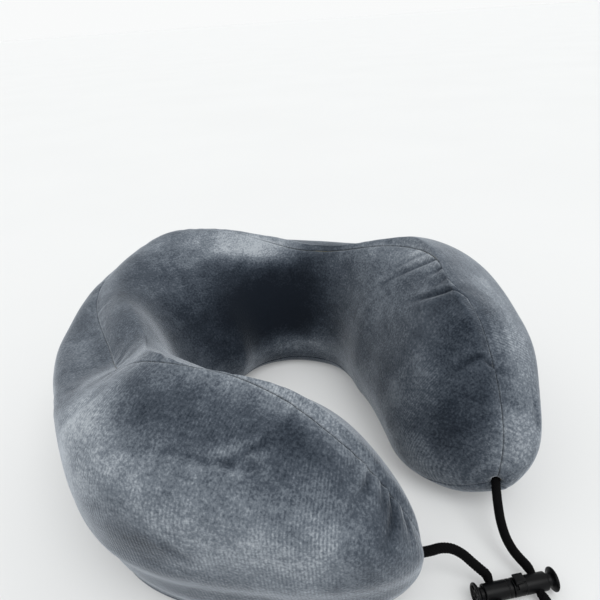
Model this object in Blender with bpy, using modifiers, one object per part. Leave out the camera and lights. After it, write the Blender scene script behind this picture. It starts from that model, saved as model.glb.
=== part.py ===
"""U shaped travel neck pillow: a foam core in a sewn velour cover with a zip, and
two braided cords that meet in a snap buckle with a sprung cord lock at each end.

Frame: origin under the middle of the pillow, +Z up, the nape at +Y and the open
mouth at -Y. Lengths below are millimetres, and MM turns them into metres.
"""
import math

import bmesh
import bpy
import numpy as np
from mathutils import Matrix, Vector

MM = 0.001

# ---- the pillow's centreline, half of it, from the nape to a tip ----
NAPE_ARC_RADIUS = 84.0
NAPE_ARC_LENGTH = 95.0
ARM_ARC_LENGTH = 214.0
# Radians each arm bends through, so longer arms open wider and their tips never meet.
ARM_ARC_TURN = 1.320988
ARM_ARC_RADIUS = ARM_ARC_LENGTH / ARM_ARC_TURN

# ---- its section at six stations, from the nape (0) to a tip (1) ----
STATIONS = [0.0, 0.2, 0.4, 0.6, 0.8, 1.0]
CREST_HEIGHT = [107.0, 99.0, 104.5, 113.5, 104.5, 76.0]
CREST_OFFSET = [16.5, 2.0, -9.5, -3.5, -16.5, -8.5]
INNER_HALF_WIDTH = [58.0, 42.0, 28.0, 48.0, 54.5, 54.5]
OUTER_HALF_WIDTH = [42.5, 42.5, 42.5, 52.0, 35.0, 24.0]
SEAM_OFFSET = [39.0, 26.5, 10.5, 9.5, -6.0, 5.5]
SEAM_HEIGHT_SHARE = [0.96, 0.905, 0.84, 1.035, 1.035, 0.92]
FOOT_INNER_SHARE = 0.62
INNER_BULGE_SHARE = 0.30
SHOULDER_SHARE = 0.79
WALL_BULGE = 3.5
WALL_HEIGHTS = [48.0, 29.0, 12.0]
FOOT_OUTER_INSET = 17.0
TIP_LENGTH = 56.0
TIP_FULLNESS = 2.6
TIP_HEIGHT_SHARE = 0.333

# ---- cover and core ----
COVER_THICKNESS = 1.8
CORE_SLACK = 1.6
SEAM_GAP = 0.4
LOWER_OUTER_SEAM = 8.4
LOWER_INNER_SEAM = 10.38
TOP_SEAM = 4.0
FIT_GAP = 0.3

# ---- zip, round the nape, low on the outer wall ----
ZIP_HALF_ANGLE = 0.90
ZIP_HEIGHT = 20.5
ZIP_TAPE_WIDTH = 5.0
ZIP_COIL_WIDTH = 1.3
ZIP_COIL_GAP = 1.0
ZIP_TAPE_DEPTH = 0.9
ZIP_TAPE_THICKNESS = 0.6
ZIP_COIL_THICKNESS = 1.1
ZIP_STOP_LENGTH = 1.6
SLIDER_LENGTH = 8.0
SLIDER_WIDTH = 6.4
SLIDER_PLATE = 0.9
SLIDER_WEB = 0.4
SLIDER_CREST = 2.4
PULL_LENGTH = 24.0
PULL_WIDTH = 5.6
PULL_THICKNESS = 1.0
PULL_PIN_RADIUS = 0.5
PULL_CLEARANCE = 0.3

# ---- cords ----
CORD_DIAMETER = 4.6
CORD_SQUEEZED_DIAMETER = 3.8
CORD_HOLE_CLEARANCE = 1.4
CORD_STEP = 9.0
KNOT_RADIUS = 4.6
KNOT_LENGTH = 8.6

# ---- buckle ----
BUCKLE_CENTRE = (-5.2, -173.2, 5.7)
BUCKLE_TURN = -31.7
HOLE_TILT = 15.0
BARREL_RADIUS = 4.3
BORE_RADIUS = 3.4
PLUNGER_RADIUS = 3.1
LEFT_BARREL_LENGTH = 14.0
RIGHT_BARREL_LENGTH = 17.8
LEFT_HOLE_PLACE = 8.8
RIGHT_HOLE_PLACE = 12.8
LEFT_WALL = 1.2
SOCKET_DEPTH = 5.1
SOCKET_RADIUS = 1.8
SOCKET_WALL = 0.9
STEM_NECK_RADIUS = 1.0
STEM_HEAD_RADIUS = 1.5
STEM_LENGTH = 4.8
BUTTON_TRAVEL = 2.0
BUTTON_RADIUS = 5.6
BUTTON_THICKNESS = 1.1
PLUNGER_END = 1.0
LATCH_PLACE = 1.2
LATCH_THICKNESS = 1.0
LATCH_HALF_WIDTH = 3.0
LATCH_TRAVEL = 1.3
LATCH_RIM = 0.9
LATCH_PAD_LENGTH = 5.0
LATCH_PAD_THICKNESS = 1.3
SPRING_WIRE = 0.4
SPRING_RADIUS = 2.5
SPRING_TURNS = 3

# Left cord, from the tip of the -X arm, in an arch and down to the lock.
LEFT_ROUTE = [
    (-35.6, -137.8, 25.3), (-32.5, -140.3, 25.3), (-28.4, -142.9, 25.8), (-23.4, -145.4, 25.4),
    (-18.6, -148.4, 23.2),
    (-14.8, -152.4, 19.4), (-12.2, -156.4, 14.8), (-10.4, -159.6, 11.2), (-9.3, -162.2, 8.6),
]
LEFT_TAIL = [(-15.6, -173.6, 4.0), (-17.6, -177.6, 2.9), (-19.9, -182.2, 2.6)]
# Right cord, from the tip of the +X arm, in a long slope down to the lock.
RIGHT_ROUTE = [
    (35.6, -137.8, 25.3), (32.5, -140.3, 25.3), (28.6, -143.7, 24.9), (24.0, -148.4, 22.4),
    (19.8, -154.0, 18.4),
    (16.4, -159.8, 13.8), (13.4, -165.0, 10.8), (11.2, -169.6, 9.0), (9.6, -173.0, 8.0),
]
RIGHT_TAIL = [(2.9, -185.0, 4.1), (1.5, -188.8, 3.0), (-0.4, -193.2, 2.6)]

PARTS = "neck_pillow"
CUTTERS = "neck_pillow_cutters"


# ---- scene set-up ----
for old in list(bpy.data.objects):
    bpy.data.objects.remove(old, do_unlink=True)


def new_collection(name):
    group = bpy.data.collections.new(name)
    bpy.context.scene.collection.children.link(group)
    return group


parts = new_collection(PARTS)
cutters = new_collection(CUTTERS)


def material(name, colour, roughness, metallic=0.0):
    made = bpy.data.materials.new(name)
    made.use_nodes = True
    shader = made.node_tree.nodes["Principled BSDF"]
    shader.inputs["Base Color"].default_value = (*colour, 1.0)
    shader.inputs["Roughness"].default_value = roughness
    shader.inputs["Metallic"].default_value = metallic
    return made


VELOUR = material("slate_velour", (0.10, 0.12, 0.15), 0.9)
FOAM = material("memory_foam", (0.80, 0.76, 0.62), 0.95)
TAPE = material("zip_tape_weave", (0.06, 0.07, 0.09), 0.8)
NYLON = material("zip_coil_nylon", (0.05, 0.05, 0.06), 0.45)
ZINC = material("zip_zinc", (0.35, 0.36, 0.38), 0.35, 1.0)
BRAID = material("black_braid", (0.012, 0.012, 0.014), 0.75)
ACETAL = material("black_acetal", (0.012, 0.012, 0.013), 0.38)
STEEL = material("spring_steel", (0.55, 0.55, 0.56), 0.3, 1.0)


def add_mesh(name, bm, finish, origin=(0.0, 0.0, 0.0), placed=None):
    """Turn a bmesh in millimetres into a part whose origin is at the given point."""
    bmesh.ops.recalc_face_normals(bm, faces=bm.faces)
    bmesh.ops.translate(bm, verts=bm.verts, vec=-Vector(origin))
    bmesh.ops.scale(bm, verts=bm.verts, vec=(MM, MM, MM))
    mesh = bpy.data.meshes.new(name)
    bm.to_mesh(mesh)
    bm.free()
    mesh.materials.append(finish)
    made = bpy.data.objects.new(name, mesh)
    made.location = Vector(origin) * MM
    if placed is not None:
        made.matrix_world = placed
    parts.objects.link(made)
    return made


# ---- the pillow's skin, as a function of place along it and round it ----
HALF_LENGTH = NAPE_ARC_LENGTH + ARM_ARC_LENGTH
HOLE_RADIUS = (CORD_DIAMETER + CORD_HOLE_CLEARANCE) / 2


def table_slopes(values):
    """Slopes that keep a smooth curve through the stations from overshooting."""
    steps = [b - a for a, b in zip(STATIONS, STATIONS[1:])]
    rises = [(b - a) / step for a, b, step in zip(values, values[1:], steps)]
    slopes = [0.0] * len(values)
    for i in range(1, len(values) - 1):
        if rises[i - 1] * rises[i] > 0:
            before = 2 * steps[i] + steps[i - 1]
            after = steps[i] + 2 * steps[i - 1]
            slopes[i] = (before + after) / (before / rises[i - 1] + after / rises[i])
    slopes[-1] = rises[-1]
    return slopes


def along(values, share):
    """A section value at a share of the way from the nape to the tip."""
    slopes = table_slopes(values)
    i = min(max(sum(1 for s in STATIONS if s <= share) - 1, 0), len(STATIONS) - 2)
    step = STATIONS[i + 1] - STATIONS[i]
    u = (share - STATIONS[i]) / step
    return (
        (2 * u**3 - 3 * u**2 + 1) * values[i]
        + (u**3 - 2 * u**2 + u) * step * slopes[i]
        + (3 * u**2 - 2 * u**3) * values[i + 1]
        + (u**3 - u**2) * step * slopes[i + 1]
    )


def centreline(share):
    """Plan position and outward direction, about the centre of the nape arc."""
    length = share * HALF_LENGTH
    nape_turn = min(length, NAPE_ARC_LENGTH) / NAPE_ARC_RADIUS
    arm_turn = max(length - NAPE_ARC_LENGTH, 0.0) / ARM_ARC_RADIUS
    if arm_turn == 0.0:
        turn = nape_turn
        x = NAPE_ARC_RADIUS * math.sin(turn)
        y = NAPE_ARC_RADIUS * math.cos(turn)
    else:
        join = NAPE_ARC_LENGTH / NAPE_ARC_RADIUS
        shift = NAPE_ARC_RADIUS - ARM_ARC_RADIUS
        turn = join + arm_turn
        x = shift * math.sin(join) + ARM_ARC_RADIUS * math.sin(turn)
        y = shift * math.cos(join) + ARM_ARC_RADIUS * math.cos(turn)
    return x, y, turn


def section_points(share):
    """The ring of points, outward offset and height, that the section runs through."""
    height = along(CREST_HEIGHT, share)
    inner = along(INNER_HALF_WIDTH, share)
    outer = along(OUTER_HALF_WIDTH, share)
    crest = along(CREST_OFFSET, share)
    seam = along(SEAM_OFFSET, share)
    ring = [
        (-inner * FOOT_INNER_SHARE, 0.0),
        (-inner, INNER_BULGE_SHARE * height),
        (-inner * 0.62 + crest * 0.38, 0.72 * height),
        (crest, height),
        (seam, along(SEAM_HEIGHT_SHARE, share) * height),
        (outer - 0.5, SHOULDER_SHARE * height),
        (outer + WALL_BULGE, WALL_HEIGHTS[0]),
        (outer - 1.5, WALL_HEIGHTS[1]),
        (outer - 6.0, WALL_HEIGHTS[2]),
        (outer - FOOT_OUTER_INSET, 0.0),
    ]
    left = max(share * HALF_LENGTH - (HALF_LENGTH - TIP_LENGTH), 0.0) / TIP_LENGTH
    scale = math.sqrt(max(1.0 - left**TIP_FULLNESS, 0.0))
    middle = (0.0, TIP_HEIGHT_SHARE * height)
    closed = []
    for offset, level in ring:
        across, up = offset - middle[0], level - middle[1]
        reach = math.hypot(across, up)
        grow = scale + HOLE_RADIUS * (1.0 - scale) / reach
        closed.append((middle[0] + across * grow, middle[1] + up * grow))
    return closed


def section(share, place):
    """A point on the section: place runs 0 to 10, from the inner foot and over the top."""
    ring = section_points(share)
    i = math.floor(place)
    u = place - i
    a, b, c, d = (ring[(i + k) % len(ring)] for k in (-1, 0, 1, 2))
    point = [
        0.5 * (2 * q + (r - p) * u + (2 * p - 5 * q + 4 * r - s) * u**2 + (3 * q - p - 3 * r + s) * u**3)
        for p, q, r, s in zip(a, b, c, d)
    ]
    return point[0], max(point[1], 0.0)


def raw_skin(share, place):
    """A point of the outside of the cover, about the centre of the nape arc."""
    x, y, turn = centreline(min(abs(share), 1.0))
    offset, level = section(min(abs(share), 1.0), place)
    side = -1.0 if share < 0 else 1.0
    return Vector((side * (x + math.sin(turn) * offset), y + math.cos(turn) * offset, level))


def middle_of_plan():
    """Where the middle of the pillow's length lies, so the origin can be under it."""
    samples = [raw_skin(i / 60, place / 2).y for i in range(61) for place in range(20)]
    return (max(samples) + min(samples)) / 2


PLAN_SHIFT = -middle_of_plan()


def skin(share, place, depth=0.0):
    """A point at a depth under the outside of the cover."""
    ahead = min(share + 0.002, 1.0)
    behind = max(share - 0.002, -1.0)
    run = raw_skin(ahead, place) - raw_skin(behind, place)
    round_it = raw_skin(share, place + 0.06) - raw_skin(share, place - 0.06)
    normal = run.cross(round_it).normalized()
    point = raw_skin(share, place) + Vector((0.0, PLAN_SHIFT, 0.0))
    return point - normal * depth


def place_shifted(share, place, distance):
    """The place that lies a short distance further round the section."""
    speed = (raw_skin(share, place + 0.02) - raw_skin(share, place - 0.02)).length / 0.04
    return place + distance / speed


# ---- stations along the pillow ----
ZIP_STATIONS = 7
ARM_STATIONS = 13
ZIP_STEPS = 32
TIP_SCALES = [0.96, 0.89, 0.79, 0.66, 0.5, 0.32, 0.15, 0.0]


def share_of_angle(angle):
    return angle * NAPE_ARC_RADIUS / HALF_LENGTH


ZIP_END_SHARE = share_of_angle(ZIP_HALF_ANGLE)
WINDOW_SHARE = ZIP_END_SHARE + share_of_angle(FIT_GAP / (NAPE_ARC_RADIUS + OUTER_HALF_WIDTH[0]))
TIP_START = 1.0 - TIP_LENGTH / HALF_LENGTH


def half_stations():
    zip_part = [ZIP_END_SHARE * i / (ZIP_STATIONS - 1) for i in range(ZIP_STATIONS)]
    arm_length = TIP_START - WINDOW_SHARE
    arm = [WINDOW_SHARE + arm_length * i / ARM_STATIONS for i in range(ARM_STATIONS + 1)]
    tip = []
    for scale in TIP_SCALES:
        left = (1.0 - scale**2) ** (1.0 / TIP_FULLNESS)
        tip.append(1.0 - (1.0 - left) * TIP_LENGTH / HALF_LENGTH)
    return zip_part + arm + tip


HALF = half_stations()
WHOLE = [-share for share in reversed(HALF[1:])] + HALF


def shell(name, shares, lines, outer_depth, inner_depth, finish, window=None, origin=(0.0, 0.0, 0.0)):
    """A closed skin between two depths. A line is a place round the section and a shift from it."""
    places = [[place_shifted(s, p, shift) for p, shift in lines] for s in shares]
    bm = bmesh.new()
    outside = [[bm.verts.new(skin(s, p, outer_depth)) for p in row] for s, row in zip(shares, places)]
    inside = [[bm.verts.new(skin(s, p, inner_depth)) for p in row] for s, row in zip(shares, places)]
    kept = set()
    for i in range(len(shares) - 1):
        for j in range(len(lines) - 1):
            if window is None or not window(i, j):
                kept.add((i, j))
    for i, j in kept:
        corners = [(i, j), (i + 1, j), (i + 1, j + 1), (i, j + 1)]
        bm.faces.new([outside[a][b] for a, b in corners])
        bm.faces.new([inside[a][b] for a, b in reversed(corners)])
        sides = [(i, j - 1), (i + 1, j), (i, j + 1), (i - 1, j)]
        for k, beyond in enumerate(sides):
            if beyond not in kept:
                (a, b), (c, d) = corners[k], corners[(k + 1) % 4]
                bm.faces.new([outside[c][d], outside[a][b], inside[a][b], inside[c][d]])
    loose = [v for v in bm.verts if not v.link_faces]
    bmesh.ops.delete(bm, geom=loose, context="VERTS")
    return add_mesh(name, bm, finish, origin)


def loft(name, shares, places, depth, finish):
    """A solid whose sections are closed rings at a depth under the skin."""
    bm = bmesh.new()
    rings = [[bm.verts.new(skin(s, p, depth)) for p in places] for s in shares]
    for near, far in zip(rings, rings[1:]):
        for j in range(len(places)):
            k = (j + 1) % len(places)
            bm.faces.new([near[j], far[j], far[k], near[k]])
    bm.faces.new(rings[0])
    bm.faces.new(list(reversed(rings[-1])))
    return add_mesh(name, bm, finish)


# ---- places round the section ----
def place_at_height(level):
    """Where the outer wall of the nape stands at a height."""
    low, high = 6.0, LOWER_OUTER_SEAM
    for _ in range(40):
        middle = (low + high) / 2
        if section(0.0, middle)[1] > level:
            low = middle
        else:
            high = middle
    return (low + high) / 2


ZIP_LINE = place_at_height(ZIP_HEIGHT)
TAPE_TOP = ZIP_TAPE_WIDTH + ZIP_COIL_GAP / 2
WINDOW_HALF = TAPE_TOP + FIT_GAP
HALF_GAP = SEAM_GAP / 2
INNER_PLACES = [0.75, 1.15, 1.6, 2.05, 2.45, 2.8, 3.15, 3.55]
SIDE_PLACES = [4.35, 4.7, 5.1, 5.6, 6.15, 6.7]
FOOT_PLACES = [8.75, 9.1, 9.6, 10.0, 10.2]


def top_inner_panel():
    lines = [(LOWER_INNER_SEAM - 10.0, HALF_GAP)] + [(p, 0.0) for p in INNER_PLACES] + [(TOP_SEAM, -HALF_GAP)]
    return shell("top_inner_panel", WHOLE, lines, 0.0, COVER_THICKNESS, VELOUR)


def outer_side_panel():
    lines = [(TOP_SEAM, HALF_GAP)] + [(p, 0.0) for p in SIDE_PLACES]
    window_line = len(lines)
    window_edges = [place_shifted(0.0, ZIP_LINE, reach) for reach in (-WINDOW_HALF, WINDOW_HALF)]
    lines += [(p, 0.0) for p in window_edges] + [(LOWER_OUTER_SEAM, -HALF_GAP)]

    def window(i, j):
        middle = (WHOLE[i] + WHOLE[i + 1]) / 2
        return j == window_line and abs(middle) < WINDOW_SHARE

    return shell("outer_side_panel", WHOLE, lines, 0.0, COVER_THICKNESS, VELOUR, window)


def bottom_panel():
    lines = [(LOWER_OUTER_SEAM, HALF_GAP)] + [(p, 0.0) for p in FOOT_PLACES] + [(LOWER_INNER_SEAM, -HALF_GAP)]
    return shell("bottom_panel", WHOLE, lines, 0.0, COVER_THICKNESS, VELOUR)


def foam_core():
    places = [LOWER_INNER_SEAM - 10.0] + INNER_PLACES + [TOP_SEAM] + SIDE_PLACES
    places += [ZIP_LINE - 0.25, ZIP_LINE + 0.35, LOWER_OUTER_SEAM] + FOOT_PLACES
    ends = len(TIP_SCALES) - TIP_SCALES.index(0.32) - 1
    return loft("foam_core", WHOLE[ends:-ends], places, COVER_THICKNESS + CORE_SLACK, FOAM)


top_inner_panel()
outer_side_panel()
bottom_panel()
foam_core()

# ---- zip ----
ZIP_SHARES = [ZIP_END_SHARE * (2 * i / ZIP_STEPS - 1) for i in range(ZIP_STEPS + 1)]
WALL_RADIUS = NAPE_ARC_RADIUS + section(0.0, ZIP_LINE)[0]
STOP_SHARE = share_of_angle(ZIP_STOP_LENGTH / WALL_RADIUS)
GAP_SHARE = share_of_angle(FIT_GAP / WALL_RADIUS)
COIL_OUT = ZIP_TAPE_DEPTH - FIT_GAP - ZIP_COIL_THICKNESS
COIL_IN = ZIP_TAPE_DEPTH - FIT_GAP
NAPE_CENTRE = (0.0, PLAN_SHIFT, 0.0)


def zip_strip(name, low, high, shares, outer_depth, inner_depth, finish):
    lines = [(ZIP_LINE, low), (ZIP_LINE, high)]
    return shell(name, shares, lines, outer_depth, inner_depth, finish)


def zip_runs():
    tape_in = ZIP_TAPE_DEPTH + ZIP_TAPE_THICKNESS
    coil_end = ZIP_END_SHARE - STOP_SHARE - GAP_SHARE
    coil_shares = [-coil_end] + [s for s in ZIP_SHARES if abs(s) < coil_end] + [coil_end]
    inner_edge = ZIP_COIL_GAP / 2
    for name, side in (("upper", -1.0), ("lower", 1.0)):
        edges = sorted((side * inner_edge, side * TAPE_TOP))
        zip_strip(f"zip_tape_{name}", *edges, ZIP_SHARES, ZIP_TAPE_DEPTH, tape_in, TAPE)
        edges = sorted((side * inner_edge, side * (inner_edge + ZIP_COIL_WIDTH)))
        zip_strip(f"zip_coil_{name}", *edges, coil_shares, COIL_OUT, COIL_IN, NYLON)
    reach = inner_edge + ZIP_COIL_WIDTH
    for name, side in (("zip_top_stop", -1.0), ("zip_end_stop", 1.0)):
        ends = sorted((side * ZIP_END_SHARE, side * (ZIP_END_SHARE - STOP_SHARE)))
        zip_strip(name, -reach, reach, ends, COIL_OUT, COIL_IN, ZINC)


zip_runs()


def wall_frame(angle):
    """Axes on the nape wall: x along the zip, y down the wall, z outwards."""
    share = share_of_angle(angle)
    here = skin(share, ZIP_LINE)
    outward = (skin(share, ZIP_LINE, -1.0) - here).normalized()
    forward = Vector((math.cos(angle), -math.sin(angle), 0.0))
    downward = outward.cross(forward).normalized()
    frame = Matrix((forward, downward, outward)).transposed().to_4x4()
    frame.translation = here
    return frame


SLIDER_ANGLE = ZIP_HALF_ANGLE - (ZIP_STOP_LENGTH + FIT_GAP + SLIDER_LENGTH / 2 + 0.5) / WALL_RADIUS
SLIDER_FRAME = wall_frame(SLIDER_ANGLE)
PLATE_UNDER = -COIL_OUT + FIT_GAP
PLATE_OVER = PLATE_UNDER + SLIDER_PLATE
WING_OVER = -(ZIP_TAPE_DEPTH + ZIP_TAPE_THICKNESS + FIT_GAP)
WING_UNDER = WING_OVER - 0.5
PIN_LEVEL = PLATE_OVER + SLIDER_CREST / 2
PIN_PLACE = -SLIDER_LENGTH / 2 + 2.2


def box(bm, low, high):
    """Add a box between two corners."""
    size = Vector(high) - Vector(low)
    middle = (Vector(high) + Vector(low)) / 2
    matrix = Matrix.Translation(middle) @ Matrix.Diagonal((*size, 1.0))
    bmesh.ops.create_cube(bm, size=1.0, matrix=matrix)


def cutter(name, bm, frame):
    """Turn a bmesh in millimetres into a hidden cutting shape."""
    bmesh.ops.scale(bm, verts=bm.verts, vec=(MM, MM, MM))
    mesh = bpy.data.meshes.new(name)
    bm.to_mesh(mesh)
    bm.free()
    made = bpy.data.objects.new(name, mesh)
    made.matrix_world = frame
    made.hide_render = True
    made.display_type = "WIRE"
    cutters.objects.link(made)
    return made


def in_metres(frame):
    """The same frame with its position in metres."""
    made = frame.copy()
    made.translation = frame.translation * MM
    return made


def boolean(target, tool, operation):
    step = target.modifiers.new(f"{operation.lower()} {tool.name}", "BOOLEAN")
    step.operation = operation
    step.solver = "EXACT"
    step.object = tool


def zip_slider():
    """Two plates joined by a web that runs between the coils, with a crest for the pull."""
    half_length, half_width = SLIDER_LENGTH / 2, SLIDER_WIDTH / 2
    outline = [
        (-half_width, PLATE_UNDER), (-half_width, PLATE_OVER), (-1.1, PLATE_OVER),
        (-1.1, PLATE_OVER + SLIDER_CREST), (1.1, PLATE_OVER + SLIDER_CREST), (1.1, PLATE_OVER),
        (half_width, PLATE_OVER), (half_width, PLATE_UNDER), (SLIDER_WEB / 2, PLATE_UNDER),
        (SLIDER_WEB / 2, WING_OVER), (half_width, WING_OVER), (half_width, WING_UNDER),
        (-half_width, WING_UNDER), (-half_width, WING_OVER), (-SLIDER_WEB / 2, WING_OVER),
        (-SLIDER_WEB / 2, PLATE_UNDER),
    ]
    bm = bmesh.new()
    face = bm.faces.new([bm.verts.new((-half_length, y, z)) for y, z in outline])
    pushed = bmesh.ops.extrude_face_region(bm, geom=[face])
    moved = [item for item in pushed["geom"] if isinstance(item, bmesh.types.BMVert)]
    bmesh.ops.translate(bm, verts=moved, vec=(SLIDER_LENGTH, 0.0, 0.0))
    bm.transform(SLIDER_FRAME)
    slider = add_mesh("zip_slider", bm, ZINC, NAPE_CENTRE)
    crest_trim = bmesh.new()
    box(crest_trim, (0.2, -1.5, PLATE_OVER), (half_length + 1.0, 1.5, PLATE_OVER + SLIDER_CREST + 1.0))
    boolean(slider, cutter("crest_trim", crest_trim, in_metres(SLIDER_FRAME)), "DIFFERENCE")
    bore = bmesh.new()
    turn = Matrix.Translation((PIN_PLACE, 0.0, PIN_LEVEL)) @ Matrix.Rotation(math.pi / 2, 4, "X")
    radius = PULL_PIN_RADIUS + PULL_CLEARANCE
    bmesh.ops.create_cone(bore, cap_ends=True, segments=16, radius1=radius, radius2=radius, depth=4.0, matrix=turn)
    boolean(slider, cutter("crest_bore", bore, in_metres(SLIDER_FRAME)), "DIFFERENCE")
    return slider


def zip_pull():
    """A flat tab whose forked end holds a pin through the slider's crest."""
    half_width = PULL_WIDTH / 2
    fork = 1.1 + PULL_CLEARANCE
    pin = Vector((PIN_PLACE, 0.0, PIN_LEVEL))
    bar = PULL_THICKNESS / 2
    root = 3.2
    bm = bmesh.new()
    outline = [
        (bar, fork), (bar, half_width), (-PULL_LENGTH + 2.0, half_width), (-PULL_LENGTH, half_width - 1.6),
        (-PULL_LENGTH, -half_width + 1.6), (-PULL_LENGTH + 2.0, -half_width), (bar, -half_width),
        (bar, -fork), (-root, -fork), (-root, fork),
    ]
    face = bm.faces.new([bm.verts.new((x + pin.x, y, pin.z - bar)) for x, y in outline])
    pushed = bmesh.ops.extrude_face_region(bm, geom=[face])
    moved = [item for item in pushed["geom"] if isinstance(item, bmesh.types.BMVert)]
    bmesh.ops.translate(bm, verts=moved, vec=(0.0, 0.0, PULL_THICKNESS))
    bm.transform(SLIDER_FRAME)
    pull = add_mesh("zip_pull", bm, ZINC, SLIDER_FRAME @ pin)
    pin_bar = bmesh.new()
    turn = Matrix.Translation(pin) @ Matrix.Rotation(math.pi / 2, 4, "X")
    reach = 2 * (fork + 0.4)
    bmesh.ops.create_cone(
        pin_bar, cap_ends=True, segments=12, radius1=PULL_PIN_RADIUS - 0.02, radius2=PULL_PIN_RADIUS - 0.02,
        depth=reach, matrix=turn,
    )
    boolean(pull, cutter("pull_pin", pin_bar, in_metres(SLIDER_FRAME)), "UNION")
    return pull


zip_slider()
zip_pull()

# ---- buckle ----
BUCKLE_FRAME = Matrix.Translation(Vector(BUCKLE_CENTRE)) @ Matrix.Rotation(math.radians(BUCKLE_TURN), 4, "Z")
# A turned piece is drawn about its own Z, which this lays along the buckle's axis.
AXIS_FROM_Z = Matrix.Rotation(math.pi / 2, 4, "Y")
TURN_STEPS = 20
HOLE_HALF = CORD_SQUEEZED_DIAMETER / 2 + FIT_GAP


def turned(name, profile, finish, frame):
    """Spin a closed profile of radius and length about the frame's Z."""
    mesh = bpy.data.meshes.new(name)
    verts = [(radius * MM, 0.0, level * MM) for radius, level in profile]
    count = len(verts)
    on_axis = [radius == 0.0 for radius, _ in profile]
    edges = [
        (i, (i + 1) % count) for i in range(count)
        if not (on_axis[i] and on_axis[(i + 1) % count])
    ]
    mesh.from_pydata(verts, edges, [])
    mesh.materials.append(finish)
    made = bpy.data.objects.new(name, mesh)
    made.matrix_world = in_metres(frame)
    parts.objects.link(made)
    screw = made.modifiers.new("turn", "SCREW")
    screw.axis = "Z"
    screw.steps = TURN_STEPS
    screw.render_steps = TURN_STEPS
    screw.use_merge_vertices = True
    screw.merge_threshold = 0.00001
    screw.use_normal_calculate = True
    return made


def cross_hole(name, place, long_reach):
    """A slot across the buckle, tilted so that the cord comes in from above."""
    bm = bmesh.new()
    matrix = Matrix.Rotation(math.radians(HOLE_TILT), 4, "X") @ Matrix.Rotation(math.pi / 2, 4, "X")
    bmesh.ops.create_cone(
        bm, cap_ends=True, segments=16, radius1=HOLE_HALF, radius2=HOLE_HALF, depth=14.0, matrix=matrix
    )
    for vert in bm.verts:
        if vert.co.x * long_reach > 1e-6:
            vert.co.x += long_reach
    bmesh.ops.translate(bm, verts=bm.verts, vec=(place, 0.0, 0.0))
    return cutter(name, bm, in_metres(BUCKLE_FRAME))


def left_housing():
    """Barrel with its bore open outwards, and the stem that snaps into the other half."""
    ramp_start = LATCH_PLACE + LATCH_THICKNESS + 0.2
    ramp_end = STEM_LENGTH - 0.4
    profile = [
        (0.0, STEM_LENGTH), (STEM_HEAD_RADIUS - 0.4, STEM_LENGTH), (STEM_HEAD_RADIUS, ramp_end),
        (STEM_NECK_RADIUS, ramp_start), (STEM_NECK_RADIUS, 0.0), (BARREL_RADIUS - 0.3, 0.0),
        (BARREL_RADIUS, -0.3), (BARREL_RADIUS, -LEFT_BARREL_LENGTH + 0.4),
        (BARREL_RADIUS - 0.4, -LEFT_BARREL_LENGTH), (BORE_RADIUS, -LEFT_BARREL_LENGTH),
        (BORE_RADIUS, -LEFT_WALL), (0.0, -LEFT_WALL),
    ]
    made = turned("left_housing", profile, ACETAL, BUCKLE_FRAME @ AXIS_FROM_Z)
    boolean(made, cross_hole("left_housing_hole", -LEFT_HOLE_PLACE, 0.0), "DIFFERENCE")
    return made


def right_housing():
    """Barrel with a socket for the stem, a bore open outwards, and a slot for the latch."""
    floor = SOCKET_DEPTH + SOCKET_WALL
    profile = [
        (0.0, floor), (BORE_RADIUS, floor), (BORE_RADIUS, RIGHT_BARREL_LENGTH),
        (BARREL_RADIUS - 0.4, RIGHT_BARREL_LENGTH), (BARREL_RADIUS, RIGHT_BARREL_LENGTH - 0.4),
        (BARREL_RADIUS, FIT_GAP + 0.3), (BARREL_RADIUS - 0.3, FIT_GAP), (SOCKET_RADIUS, FIT_GAP),
        (SOCKET_RADIUS, SOCKET_DEPTH), (0.0, SOCKET_DEPTH),
    ]
    made = turned("right_housing", profile, ACETAL, BUCKLE_FRAME @ AXIS_FROM_Z)
    boolean(made, cross_hole("right_housing_hole", RIGHT_HOLE_PLACE, 0.0), "DIFFERENCE")
    slot = bmesh.new()
    half = LATCH_HALF_WIDTH + FIT_GAP
    box(
        slot, (LATCH_PLACE - FIT_GAP, -half, LATCH_FOOT - LATCH_TRAVEL - FIT_GAP),
        (LATCH_PLACE + LATCH_THICKNESS + FIT_GAP, half, BARREL_RADIUS + 2.0),
    )
    boolean(made, cutter("latch_slot", slot, in_metres(BUCKLE_FRAME)), "DIFFERENCE")
    return made


CATCH_REACH = STEM_NECK_RADIUS + 0.25
LATCH_FOOT = -CATCH_REACH - LATCH_RIM
PAD_UNDER = BARREL_RADIUS + LATCH_TRAVEL + FIT_GAP


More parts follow.
